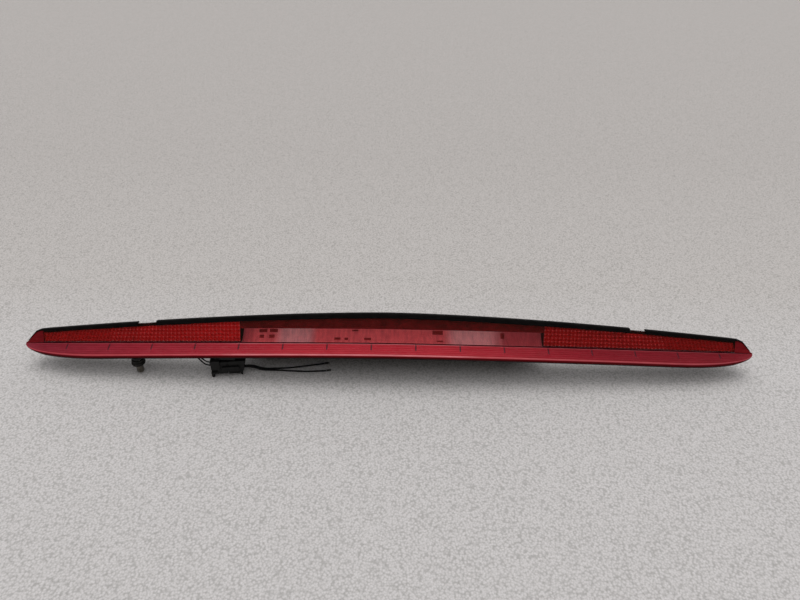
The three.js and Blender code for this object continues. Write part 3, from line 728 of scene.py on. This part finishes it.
def crimped_end(start, end):
    """The stripped end of a wire: a dark crimped sleeve with the ends of its strands standing out of it."""
    start, end = Vector(start), Vector(end)
    along = (end - start).normalized()
    side = along.cross(Vector((0, 0, 1))).normalized()
    up = side.cross(along)
    length = (end - start).length
    sleeve_end = SLEEVE[-1][0]
    sleeve = [(start + along * reach, radius) for reach, radius in SLEEVE]
    parts = [round_bar(sleeve, side, up, SLEEVE_SIDES)]
    for n in range(STRANDS):
        turn = 2 * pi * n / (STRANDS - 1)
        off = 0.0 if n == STRANDS - 1 else STRAND_RING
        stop = length - STRAND_STEP * (n % 3)
        rings = []
        for reach in (sleeve_end - STRAND_ROOT, mix(sleeve_end, stop, 0.5), stop):
            twist = turn + STRAND_TWIST * reach
            centre = start + along * reach + off * (cos(twist) * side + sin(twist) * up)
            rings.append((centre, STRAND_RADIUS))
        parts.append(round_bar(rings, side, up, STRAND_SIDES))
    return merged(*parts)


for key, tail in TAILS.items():
    leaves = at_plug(TAIL_EXIT, tail["across"], TAIL_EXIT_Z)
    beyond = at_plug(TAIL_BEYOND, tail["across"], TAIL_BEYOND_Z)
    lies = [(x, y + SHIFT, z) for x, y, z in tail["route"]]
    tip = [(x, y + SHIFT, z) for x, y, z in tail["tip"]]
    path = catmull([leaves, beyond] + lies, 3)
    end_piece = new_piece(
        f"tail_{key}_crimp", *crimped_end(*tip), DARK_CRIMP, "tinned_brass", [f"tail_end_{key}"],
        "harness_plug",
    )
    wire = wire_piece(
        f"tail_{key}_wire", path, TAIL_RADIUS, WIRE_SKIN, "harness_plug", [f"tail_{key}"]
    )

# --- outer lens ---
FLUTES = 5
DIVIDER_FIRST = -22.3
DIVIDER_PITCH = 56.4
DIVIDER_HALF = 0.7
DIVIDER_SHOULDER = 0.95
DIVIDER_CUT = 0.4
SEAM_CUT = 1.1
dividers = [DIVIDER_FIRST + DIVIDER_PITCH * k for k in range(-7, 9)]
WINDOW_EDGES = (-190.2, 198.0)
TIP_START = 450.5
TIP_PLACES = (TIP_START, 457, 460.5, 463.5, 466, 468.5, 470.5, 472, 473.2, 474.2, 475)
LENS_EVEN = 450
LENS_STEP = 9
STEP_CLEAR = 2.5


def near_divider(x, reach):
    return min(abs(x - d) for d in dividers) < reach


def lens_places():
    places = set()
    for x in spaced(-LENS_EVEN, LENS_EVEN, LENS_STEP):
        if min(abs(x - stop) for stop in (*dividers, *WINDOW_EDGES)) > STEP_CLEAR:
            places.add(x)
    places.update(WINDOW_EDGES)
    for off in (-DIVIDER_SHOULDER, -DIVIDER_HALF, 0, DIVIDER_HALF, DIVIDER_SHOULDER):
        places.update(d + off for d in dividers)
    for side in (-1, 1):
        places.update(side * x for x in TIP_PLACES)
    return sorted(places)


# Both shapes are (share, proud) pairs: shares of a flute's pitch, and of the ledge's width.
FLUTE_SHAPE = ((0.0, -0.28), (0.16, -0.06), (0.42, 0.05), (0.72, 0.0), (0.94, -0.16))
BEAD_SHAPE = (
    (0.84, -0.25), (0.865, 0.25), (0.885, 0.48), (0.91, 0.52), (0.935, 0.34), (0.96, -0.02),
    (0.985, -0.42),
)
FLUTES_FROM, FLUTES_TO = 0.06, 0.80
CUT_FLUTES = 3
SHALLOW_CUT = 0.35


def ledge_profile(x):
    """(forward, proud) pairs from the seam to the nose: flutes, then a flat strip, then a bead."""
    width = ledge_width(x)
    thin = taper(x) * clamp(width / LEDGE_MID * 1.2)
    cut = DIVIDER_CUT * thin if near_divider(x, DIVIDER_HALF + 0.05) else 0.0
    first, last = FLUTES_FROM * width, FLUTES_TO * width
    pitch = (last - first) / FLUTES
    points = [(0.0, -SEAM_CUT * thin), (0.03 * width, -0.1 * thin)]
    for n in range(FLUTES):
        drop = cut * (1.0 if n < CUT_FLUTES else SHALLOW_CUT)
        for part, proud in FLUTE_SHAPE:
            points.append((first + n * pitch + part * pitch, proud * thin - drop))
    points.append((last, -0.35 * thin))
    return points + [(part * width, proud * thin) for part, proud in BEAD_SHAPE]


FACE_STEPS = (0.0, 0.03, 0.08, 0.3, 0.5, 0.7, 0.9, 0.985)
FACE_FOOT = 0.9


def lens_ring(x):
    t = taper(x)
    wall = LENS_WALL * t
    width = ledge_width(x)
    height = lens_height(x)
    _, nose_y, nose_z = nose(x)
    lip = nose_z - LENS_LIP * t
    points = [
        (x, nose_y + 1.2 * wall, lip),
        (x, nose_y + 0.55 * t, lip),
        (x, nose_y + 0.12 * t, lip + 0.35 * t),
        (x, nose_y + 0.02 * t, nose_z - 1.7 * t),
        (x, nose_y + 0.1 * t, nose_z - 0.9 * t),
    ]
    for forward, proud in reversed(ledge_profile(x)):
        points.append(on_ledge(x, forward, -proud))
    points[-1] = inside_seam(x, SEAM_CUT * t)
    for part in FACE_STEPS:
        sunk = 0.12 * t if part == 0.0 else 0.0
        points.append(on_face(x, mix(FACE_FOOT * t, height, part), sunk))
    return points + [
        on_face(x, height, 0.5 * t),
        on_face(x, height, wall),
        on_face(x, 0.5 * height, wall),
        inside_seam(x, wall),
        on_ledge(x, max(width - 1.2 * wall, 0.4 * width), wall),
    ]


EDGE, LEDGE, WINDOW, SIDE, GROOVE, BEAD, TIP = range(7)
NOSE_POINTS = 5
SEAM_INDEX = NOSE_POINTS + len(ledge_profile(0.0)) - 1
SEAM_STRIP = SEAM_INDEX - 2
INNER_SEAM = SEAM_INDEX + len(FACE_STEPS) + 4
BEAD_FACES = range(NOSE_POINTS + 1, NOSE_POINTS + len(BEAD_SHAPE) - 1)
CUT_FACES = 2 + CUT_FLUTES * len(FLUTE_SHAPE)


def lens_zone(k, x):
    """The zone of the face that joins points k and k + 1 of the rings next to x."""
    if k < NOSE_POINTS:
        return EDGE
    if k < SEAM_STRIP:
        if near_divider(x, DIVIDER_SHOULDER) and SEAM_INDEX - k <= CUT_FACES:
            return GROOVE
        return BEAD if k in BEAD_FACES else LEDGE
    if k <= SEAM_INDEX:
        # The strip at the top of the seam takes the bead's painted highlight.
        return BEAD if k == SEAM_STRIP else GROOVE
    if k < INNER_SEAM:
        if abs(x) > TIP_START:
            return TIP
        return WINDOW if WINDOW_EDGES[0] < x < WINDOW_EDGES[1] else SIDE
    return LEDGE if k == INNER_SEAM else EDGE


lens_verts, lens_faces, lens_zones = lofted(lens_places(), lens_ring, lens_zone)
new_piece(
    "lens_fine", lens_verts, lens_faces,
    [LENS_EDGE_SHADE, LENS_LEDGE, LENS_WINDOW, LENS_SIDE, LENS_GROOVE, LENS_BEAD_HIGHLIGHT, LENS_TIP],
    "lens_red", ["outer_lens"], zones=lens_zones, sharp=28,
)

# --- prism plates behind the side fields ---
PRISM_PITCH = 4.9
PRISM_LINE_HALF = 0.78
PRISM_FRONT = 2.95
PRISM_WALL = 0.6
PRISM_WELD = 0.00002
PRISM_ROWS = 6
PRISM_FOOT = 1.6
PRISM_SHAPE = ((0.0, "line"), (PRISM_LINE_HALF, "peak"), (2 * PRISM_LINE_HALF, "line"), (3.07, "deep"))
PRISM_INNER = {-1: 190.8, 1: 198.2}
PRISM_OUTER = 451.5
PRISM_END = 458.0
STUD_DEPTH = PRISM_FRONT - 0.12
CELL_DEPTH = PRISM_FRONT + 1.75
RIDGE_DEPTH = PRISM_FRONT + 0.2
PLAIN_DEPTH = PRISM_FRONT + 0.25
RIB_START = 355.0
FAN_START = 262
FAN_LENGTH = 110
FAN_MOST = 0.36
TOP_CLEAR = 0.6


def prism_lines(first, count):
    """Places across a row of prisms, each with its kind: a line's edge or peak, or a cell's deep middle."""
    return [(first + n * PRISM_PITCH + off, kind) for n in range(count) for off, kind in PRISM_SHAPE]


def prism_depth(column, row):
    if column == row == "peak":
        return STUD_DEPTH
    if column == row == "deep":
        return CELL_DEPTH
    if "deep" not in (column, row) and "peak" in (column, row):
        return RIDGE_DEPTH
    return PLAIN_DEPTH


def below_rim(x):
    return lens_height(x) - rim_depth(x) - TOP_CLEAR


def prism_plate(place, side):
    """A plate of sunk square prisms between raised lines, with studs where they cross and ribs at the tip;
    the lines are painted paler and the studs near white, as painted highlights and glints.
    """
    inner = PRISM_INNER[side]
    count = int((PRISM_OUTER - inner) / PRISM_PITCH)
    columns = [(side * at, kind) for at, kind in prism_lines(inner, count)]
    columns.append((side * (inner + count * PRISM_PITCH), "line"))
    rows = prism_lines(PRISM_FOOT, PRISM_ROWS)

    def spot(x, up, depth):
        top = below_rim(x)
        fan = FAN_MOST * clamp((abs(x) - FAN_START) / FAN_LENGTH)
        shifted = x + side * fan * (top - up)
        return on_face(min(abs(shifted), PRISM_END) * side, min(up, top), depth)

    verts = [spot(x, up, prism_depth(column, row)) for x, column in columns for up, row in rows]
    faces, zones = [], []
    across = len(rows)
    for i in range(len(columns) - 1):
        x = 0.5 * (columns[i][0] + columns[i + 1][0])
        on_column = "peak" in (columns[i][1], columns[i + 1][1])
        for j in range(across - 1):
            if rows[j][0] >= below_rim(x) - 0.05:
                continue
            near, far = i * across + j, (i + 1) * across + j
            faces.append((near, far, far + 1, near + 1))
            on_row = "peak" in (rows[j][1], rows[j + 1][1]) and abs(x) <= RIB_START
            # Zone 1 is a line, zone 2 a crossing: painted highlight and painted glint.
            zones.append(on_column + on_row)
    name = f"prisms_{place}_fine"
    data = bpy.data.meshes.new(name)
    data.from_pydata([tuple(c * MM for c in p) for p in verts], [], faces)
    for material in (PRISM_CELL, PRISM_LINE_HIGHLIGHT, PRISM_DOT_GLINT):
        data.materials.append(material)
    data.polygons.foreach_set("material_index", zones)
    work = bmesh.new()
    work.from_mesh(data)
    bmesh.ops.remove_doubles(work, verts=work.verts, dist=PRISM_WELD)
    bmesh.ops.recalc_face_normals(work, faces=work.faces)
    bmesh.ops.delete(work, geom=[v for v in work.verts if not v.link_faces], context="VERTS")
    work.to_mesh(data)
    work.free()
    thicken(placed(name, data, [f"prism_plate_{place}"]), PRISM_WALL)


prism_plate("left", -1)
prism_plate("right", 1)

# --- behind the clear window ---
TROUGH_FRONT, TROUGH_MIDDLE, TROUGH_REACH, TROUGH_DROP = 4.0, 12.0, 25.0, 15.5
TROUGH_SWEEP = radians(78)
TROUGH_STEP = 3.1
TROUGH_PART = 0.04
TROUGH_SHEET = 0.7
SCALLOP = 0.9
POCKET_CLEAR = 0.6
POCKET_SINK = (0, 1.8 * MM, -0.9 * MM)
# (x, width, and where each pocket starts and ends, as shares of the curve from its back edge)
POCKETS = [
    (-164.5, 10, 0.27, 0.45), (-150.3, 10, 0.27, 0.45), (-165.5, 5.5, 0.55, 0.71), (-152.6, 7, 0.55, 0.72),
    (-67, 8, 0.68, 0.8), (-55.5, 4.5, 0.68, 0.79), (-28, 9, 0.68, 0.81), (-44.5, 8, 0.28, 0.38),
    (62, 12, 0.28, 0.5), (65.5, 8, 0.74, 0.86), (147, 5, 0.3, 0.6),
]


def trough_spot(x, part):
    turn = part * TROUGH_SWEEP
    scallop = SCALLOP * cos(2 * pi * x / LED_PITCH) * sin(pi * part)
    return (
        x,
        seam_y(x) + TROUGH_FRONT + (TROUGH_REACH + scallop) * sin(turn),
        seam_z(x) + TROUGH_MIDDLE - (TROUGH_DROP + 0.4 * scallop) * cos(turn),
    )


def in_pocket(x, part):
    return any(abs(x - at) < width / 2 and 1 - high < part < 1 - low for at, width, low, high in POCKETS)


def trough():
    """The curved reflector under the light source, scalloped under every LED, with small square pockets."""
    columns = set(spaced(WINDOW_LEFT, WINDOW_RIGHT, TROUGH_STEP))
    for x, width, _, _ in POCKETS:
        columns = {c for c in columns if abs(c - x) > width / 2 + POCKET_CLEAR}
        columns.update((x - width / 2, x, x + width / 2))
    columns = sorted(columns)
    parts = spaced(0.0, 1.0, TROUGH_PART)
    work = bmesh.new()
    grid = []
    for x in columns:
        grid.append([work.verts.new([c * MM for c in trough_spot(x, part)]) for part in parts])
    openings = []
    for i in range(len(columns) - 1):
        for j in range(len(parts) - 1):
            face = work.faces.new((grid[i][j], grid[i + 1][j], grid[i + 1][j + 1], grid[i][j + 1]))
            if in_pocket(0.5 * (columns[i] + columns[i + 1]), 0.5 * (parts[j] + parts[j + 1])):
                openings.append(face)
    made = bmesh.ops.extrude_face_region(work, geom=openings)
    moved = [g for g in made["geom"] if isinstance(g, bmesh.types.BMVert)]
    bmesh.ops.translate(work, verts=moved, vec=POCKET_SINK)
    bmesh.ops.delete(work, geom=openings, context="FACES")
    for face in {f for v in moved for f in v.link_faces}:
        face.material_index = 1
    bmesh.ops.recalc_face_normals(work, faces=work.faces)
    data = bpy.data.meshes.new("trough_fine")
    work.to_mesh(data)
    work.free()
    data.materials.append(TROUGH_GLOW_SKIN)
    data.materials.append(POCKET_SKIN)
    smoothed(data, 40)
    thicken(placed("trough_fine", data, ["window_reflector"]), TROUGH_SHEET)


trough()

CARRIER_DEPTH, CARRIER_WALL, CARRIER_FOOT, CARRIER_BACK = 4.0, 1.6, 18.2, 27.0
CARRIER_STEPS = 5
CARRIER_LIP = 1.2
CARRIER_SUNK = 0.75
PLATE_LOW, PLATE_HIGH = 14.6, 16.2


def carrier_ring(x):
    """The black front wall has five shallow steps along it, and a lip at its foot."""
    top = below_rim(x)
    back = CARRIER_DEPTH + CARRIER_WALL

    def up_to(z):
        return (z + back * cos(FACE_ANGLE)) / sin(FACE_ANGLE)

    points = [on_face(x, CARRIER_FOOT, CARRIER_DEPTH + 0.5), on_face(x, CARRIER_FOOT, CARRIER_DEPTH)]
    for n in range(CARRIER_STEPS):
        start = mix(CARRIER_FOOT + CARRIER_LIP, top, n / CARRIER_STEPS)
        stop = mix(CARRIER_FOOT + CARRIER_LIP, top, (n + 1) / CARRIER_STEPS)
        points.append(on_face(x, start, CARRIER_DEPTH - 0.1))
        points.append(on_face(x, mix(start, stop, 0.75), CARRIER_DEPTH + CARRIER_SUNK))
        points.append(on_face(x, mix(start, stop, 0.97), CARRIER_DEPTH + CARRIER_SUNK))
    return points + [
        on_face(x, top, CARRIER_DEPTH),
        on_face(x, top, back),
        on_face(x, up_to(PLATE_HIGH), back),
        (x, seam_y(x) + CARRIER_BACK, seam_z(x) + PLATE_HIGH),
        (x, seam_y(x) + CARRIER_BACK, seam_z(x) + PLATE_LOW),
        on_face(x, up_to(PLATE_LOW), back),
        on_face(x, CARRIER_FOOT, back),
    ]


CARRIER_POINTS = len(carrier_ring(0.0))
# The underside of the plate and the back of the wall below it take the glowing trough skin: painted glow.
CARRIER_UNDERSIDE = (CARRIER_POINTS - 3, CARRIER_POINTS - 2)
carrier_verts, carrier_faces, carrier_zones = lofted(
    spaced(WINDOW_LEFT, WINDOW_RIGHT, 14), carrier_ring, lambda k, x: 1 if k in CARRIER_UNDERSIDE else 0
)
new_piece(
    "carrier_fine", carrier_verts, carrier_faces, [CARRIER_ABS, TROUGH_GLOW_SKIN], "black_abs", ["led_carrier"],
    zones=carrier_zones,
)


# --- edge trims ---
TRIM_SKIN = 1.4
# (share of the strip's height, share of its skin) up the front, with a groove at a third of the height
TRIM_SHAPE = (
    (0.0, 0.0), (0.0, 0.55), (0.06, 1.0), (0.30, 1.12), (0.36, 0.86), (0.44, 0.86), (0.50, 1.12), (0.85, 1.0),
)
TRIM_END = HOUSING_HALF + 2
NOTCH_INNER_LEFT, NOTCH_INNER_RIGHT = -298, 308
NOTCH_OUTER_LEFT, NOTCH_OUTER_RIGHT = -323, 329


def trim_ring(x):
    skin = TRIM_SKIN * taper(x)
    height = lens_height(x)
    back = (LENS_WALL + HOUSING_WALL) * taper(x) + 2 * GAP
    high = height + band_proud(x) + GAP
    low = height - (band_height(x) - band_proud(x))
    front = -GAP
    tall = high - low
    points = [on_face(x, low + up * tall, front - proud * skin) for up, proud in TRIM_SHAPE]
    return points + [
        on_face(x, high, front - 0.35 * skin),
        on_face(x, high, mix(front, back, 0.85)),
        on_face(x, high - 0.15 * tall, back),
        on_face(x, height + GAP, back),
        on_face(x, height + GAP, front),
    ]


for name, start, end in (
    ("centre", NOTCH_INNER_LEFT, NOTCH_INNER_RIGHT),
    ("left", -TRIM_END, NOTCH_OUTER_LEFT),
    ("right", NOTCH_OUTER_RIGHT, TRIM_END),
):
    trim_verts, trim_faces, _ = lofted(spaced(start, end, 6), trim_ring)
    new_piece(f"trim_{name}_fine", trim_verts, trim_faces, RUBBER, "black_rubber", [f"edge_trim_{name}"])


# --- gaskets ---
GASKET_THICK = 3
GASKET_WAVE = 0.14


def gasket(place, front, back, start, end):
    """A strip of foam whose cut edges wander a little."""

    def ring(x):
        top = floor_bottom(x) - GAP
        low = top - GASKET_THICK
        wave = GASKET_WAVE * noise.noise(Vector((0.21 * x, 3.1, 0.7)))
        near_y, far_y = front + SHIFT, back + SHIFT
        return [
            (x, near_y + 0.15, low + 0.3 + wave), (x, near_y + 0.5, low + 0.05),
            (x, far_y - 0.5, low + 0.05), (x, far_y - 0.15, low + 0.3 - wave),
            (x, far_y - 0.1 + wave, top - 0.5), (x, far_y - 0.3, top),
            (x, near_y + 0.3, top), (x, near_y + 0.1 - wave, top - 0.5),
        ]

    verts, faces, _ = lofted(spaced(start, end, 5), ring)
    new_piece(f"gasket_{place}_fine", verts, faces, FOAM, "grey_foam", [f"gasket_{place}"])


gasket("centre", 4, 11, -192, 192)
gasket("left", 0, 7, -420, -206)
gasket("right", 0, 7, 206, 420)

# --- housing ---
clean_copy("rear_housing", "housing_fine", HOUSING_ABS, 0.45)

# --- studs, bush, nut ---
STUD_RADIUS = 2.4
THREAD_PITCH = 0.8
THREAD_DEPTH = 0.34
INNER_STUD_TIP = 18
OUTER_STUD_TIP = 0.2
OUTER_STUD = (-323.0, -21.8 + SHIFT, 24.4)
INNER_STUD = (110.0, -5.0 + SHIFT, 32.0)


def stud(place, centre, seat, tip):
    profile = [(0.02, tip), (STUD_RADIUS - 0.75, tip), (STUD_RADIUS - 0.35, tip + 0.5)]
    z = tip + 0.8
    while z + THREAD_PITCH < seat - 2.2:
        profile += [
            (STUD_RADIUS - THREAD_DEPTH, z),
            (STUD_RADIUS, z + 0.33 * THREAD_PITCH),
            (STUD_RADIUS, z + 0.5 * THREAD_PITCH),
        ]
        z += THREAD_PITCH
    profile += [
        (STUD_RADIUS - 0.2, z), (STUD_RADIUS - 0.2, seat - 1.8), (4.9, seat - 1.8), (5.2, seat - 1.5),
        (5.2, seat - 0.6), (4.9, seat - GAP), (STUD_RADIUS, seat - GAP), (STUD_RADIUS, seat + 2.8),
        (0.02, seat + 2.8),
    ]
    verts, faces = turned(profile, centre, 32)
    new_piece(f"stud_{place}_fine", verts, faces, STEEL, "plated_steel", [f"stud_{place}"], sharp=50)


stud("outer_left", OUTER_STUD, OUTER_STUD[2], OUTER_STUD_TIP)
stud("inner_left", (-INNER_STUD[0], INNER_STUD[1]), INNER_STUD[2], INNER_STUD_TIP)
stud("inner_right", INNER_STUD, INNER_STUD[2], INNER_STUD_TIP)

BUSH_TOP = OUTER_STUD[2] - 1.8 - GAP
BUSH_LOW = BUSH_TOP - 7.6
bush_profile = [
    (2.7, BUSH_LOW + 0.3), (3.1, BUSH_LOW), (6.4, BUSH_LOW), (7.4, BUSH_LOW + 0.35), (8.3, BUSH_LOW + 1.1),
    (8.6, BUSH_LOW + 1.9), (8.6, BUSH_LOW + 3.0), (8.2, BUSH_LOW + 3.6), (7.0, BUSH_LOW + 4.0),
    (6.6, BUSH_LOW + 4.4), (6.6, BUSH_LOW + 5.1), (6.9, BUSH_LOW + 5.6), (7.6, BUSH_LOW + 5.8),
    (7.9, BUSH_LOW + 6.2), (7.9, BUSH_TOP - 0.3), (7.6, BUSH_TOP), (2.7, BUSH_TOP),
]
new_piece("bush_fine", *turned(bush_profile, OUTER_STUD), BUSH_RUBBER, "black_rubber", ["stud_bush"])

NUT_TOP = BUSH_LOW - GAP
NUT_LOW = 2.4
NUT_CORNER = 4.6
NUT_CORNER_CUT = 0.12
NUT_OUTER = [
    ("hex", -0.55, NUT_LOW), ("hex", -0.2, NUT_LOW + 0.15), ("hex", 0.0, NUT_LOW + 0.7),
    ("hex", 0.0, NUT_TOP - 2.0), ("hex", 0.15, NUT_TOP - 1.6), ("round", 5.2, NUT_TOP - 1.25),
    ("round", 5.6, NUT_TOP - 0.9), ("round", 5.6, NUT_TOP - 0.25), ("round", 5.4, NUT_TOP),
]


def nut_bore():
    bore = [(2.75, NUT_TOP), (2.75, NUT_TOP - 0.4)]
    z = NUT_TOP - 0.8
    while z > NUT_LOW + 0.9:
        bore += [(2.95, z), (2.72, z - 0.4)]
        z -= THREAD_PITCH
    return bore + [(2.8, NUT_LOW + 0.3), (3.2, NUT_LOW)]


def nut_profile(turn):
    """A threaded bore, then a flanged hexagon with chamfered corners."""
    from_flat = (turn + pi / 6) % (pi / 3) - pi / 6
    flat = NUT_CORNER * cos(pi / 6)
    hexagon = min(flat / cos(from_flat), NUT_CORNER - NUT_CORNER_CUT)
    outer = [(hexagon + r if kind == "hex" else r, z) for kind, r, z in NUT_OUTER]
    return nut_bore() + outer


new_piece("nut_fine", *turned(nut_profile, OUTER_STUD), WORN_STEEL, "plated_steel", ["stud_nut"], sharp=38)

# --- grommet and breather ---
LEAD_HOLE = (-250.0, -14.0 + SHIFT)
GLAND = floor_bottom(LEAD_HOLE[0])
grommet_profile = [
    (2.3, GLAND - 2.2), (2.5, GLAND - 2.4), (4.2, GLAND - 2.4), (4.8, GLAND - 1.7), (5.2, GLAND - 0.9),
    (5.1, GLAND - 0.5), (3.4, GLAND - 0.4), (3.2, GLAND - 0.1), (3.2, GLAND + 2.5), (3.5, GLAND + 2.7),
    (4.5, GLAND + 2.7), (4.5, GLAND + 2.9), (4.2, GLAND + 3.1), (2.4, GLAND + 3.1), (2.3, GLAND + 2.9),
]
new_piece(
    "grommet_fine", *turned(grommet_profile, LEAD_HOLE, 36), BUSH_RUBBER, "black_rubber", ["lead_grommet"]
)

VENT_X, VENT_Z = 260.0, 42.0
vent_back = back_y(VENT_X)
vent_profile = [
    (0.02, -2.6), (2.0, -2.6), (2.4, -2.2), (2.4, 0.3), (4.6, 0.42), (5.0, 0.8), (5.0, 1.5), (4.5, 2.0),
    (3.6, 2.0), (3.4, 1.6), (2.6, 1.6), (2.4, 2.0), (0.9, 2.0), (0.7, 1.5), (0.02, 1.5),
]
vent_verts, vent_faces = turned(vent_profile, (0, 0), 36)
vent_verts = [(VENT_X + x, vent_back + z, VENT_Z + y) for x, y, z in vent_verts]
new_piece("vent_fine", vent_verts, vent_faces, BUSH_RUBBER, "black_rubber", ["vent_cap"])

# --- supply leads ---
TERMINAL_Z = 17.6
LEAD_RADIUS = 0.95
LEADS_APART = 1.15
for key, side in (("positive", -1), ("negative", 1)):
    apart = LEADS_APART * side
    route = [
        (-181 + 3 * side, 12, 54.6), (-182 + 3 * side, 17, 54.8), (-184 + 2.2 * side, 21.2, 52.5),
        (-186 + 1.6 * side, 22, 46), (-190 + apart, 17 - apart, 38.2), (-198, 8.6 - apart, 36),
        (-206, 5 - apart, 36), (-225, -2 - apart, 35.8), (-241, -9 - apart, 35.3),
        (-247.4, -12.8 - apart, 34.9), (-250, -14 - apart, 33), (-250, -14 - apart, 26),
        (-248.4, -14.8 - 1.3 * apart, 22.8),
        (-243, -18 - 1.9 * apart, 20.2), (-236, -22.4 - 2.3 * apart, 18.2),
        (-229 + 0.4 * side, -24.3 - 2.6 * apart, TERMINAL_Z),
    ]
    path = catmull([(x, y + SHIFT, z) for x, y, z in route], 6)
    wire_piece(f"lead_{key}_wire", path, LEAD_RADIUS, WIRE_SKIN, "lamp", [f"lead_{key}"])

# --- connector ---
clean_copy("socket_housing", "socket_fine", NYLON, 0.35)
clean_copy("connector_clip", "clip_fine", NYLON, 0.4)
clean_copy("plug_housing", "plug_fine", NYLON, 0.4, "harness_plug")
clean_copy("plug_latch", "latch_fine", NYLON, 0.2, "latch")
for key in ("positive", "negative"):
    clean_copy(f"socket_terminal_{key}", f"pin_{key}_fine", BRASS, 0.12)
    clean_copy(f"plug_terminal_{key}", f"sleeve_{key}_fine", BRASS, 0.12, "harness_plug")

# --- CAD nodes that keep their shape get a finished material ---
KEPT = {"led_board": BOARD}
KEPT.update({f"led_{n:02d}": RESIN for n in range(1, 13)})
KEPT.update({f"board_screw_{n}": STEEL for n in (1, 2, 3)})
KEPT.update({f"side_reflector_{key}": MIRROR_SKIN for key in ("left", "right")})
KEPT.update({f"ledge_reflector_{key}": MIRROR_SKIN for key in ("left", "centre", "right")})
for name, skin in KEPT.items():
    data = nodes[name].data
    data.materials.clear()
    data.materials.append(skin)
    smoothed(data)

# --- floor and light ---
FLOOR_HALF = 9.0
ROOM_LIGHT = 0.88
ROOM_BRIGHTEST = (0, 0.25, 0.97)
ROOM_DIM_AT, ROOM_BRIGHT_AT = 0.05, 0.62
SUN_LIGHT = 0.98
SUN_SPREAD = radians(46)
SUN_TOWARDS = (0.06, -0.34, -1.0)

floor_data = bpy.data.meshes.new("floor")
floor_corners = [(x * FLOOR_HALF, y * FLOOR_HALF, 0) for x, y in ((-1, -1), (1, -1), (1, 1), (-1, 1))]
floor_data.from_pydata(floor_corners, [], [(0, 1, 2, 3)])
floor_data.materials.append(floor_looks())
floor = bpy.data.objects.new("floor", floor_data)
scene.collection.objects.link(floor)


def studio_world():
    """A pale room that is brightest overhead and behind the lamp, and dim on the camera's side."""
    world = bpy.data.worlds.new("studio")
    world.use_nodes = True
    tree = world.node_tree
    background = tree.nodes["Background"]
    background.inputs["Strength"].default_value = ROOM_LIGHT
    coordinate = tree.nodes.new("ShaderNodeTexCoord")
    towards = tree.nodes.new("ShaderNodeVectorMath")
    towards.operation = "DOT_PRODUCT"
    towards.inputs[1].default_value = Vector(ROOM_BRIGHTEST)
    spread = tree.nodes.new("ShaderNodeMapRange")
    spread.inputs["From Min"].default_value = ROOM_DIM_AT
    spread.inputs["From Max"].default_value = ROOM_BRIGHT_AT
    ramp = tree.nodes.new("ShaderNodeValToRGB")
    ramp.color_ramp.elements[0].color = (0.085, 0.071, 0.052, 1)
    ramp.color_ramp.elements[1].color = (1.0, 1.0, 1.0, 1)
    tree.links.new(coordinate.outputs["Generated"], towards.inputs[0])
    tree.links.new(towards.outputs["Value"], spread.inputs["Value"])
    tree.links.new(spread.outputs["Result"], ramp.inputs["Fac"])
    tree.links.new(ramp.outputs["Color"], background.inputs["Color"])
    scene.world = world


studio_world()
scene.view_settings.view_transform = "Standard"

sun_data = bpy.data.lights.new("soft_daylight", "SUN")
sun_data.energy = SUN_LIGHT
sun_data.angle = SUN_SPREAD
sun_data.color = (1.0, 0.99, 0.97)
sun = bpy.data.objects.new("soft_daylight", sun_data)
sun.rotation_euler = Vector(SUN_TOWARDS).to_track_quat("-Z", "Y").to_euler()
scene.collection.objects.link(sun)
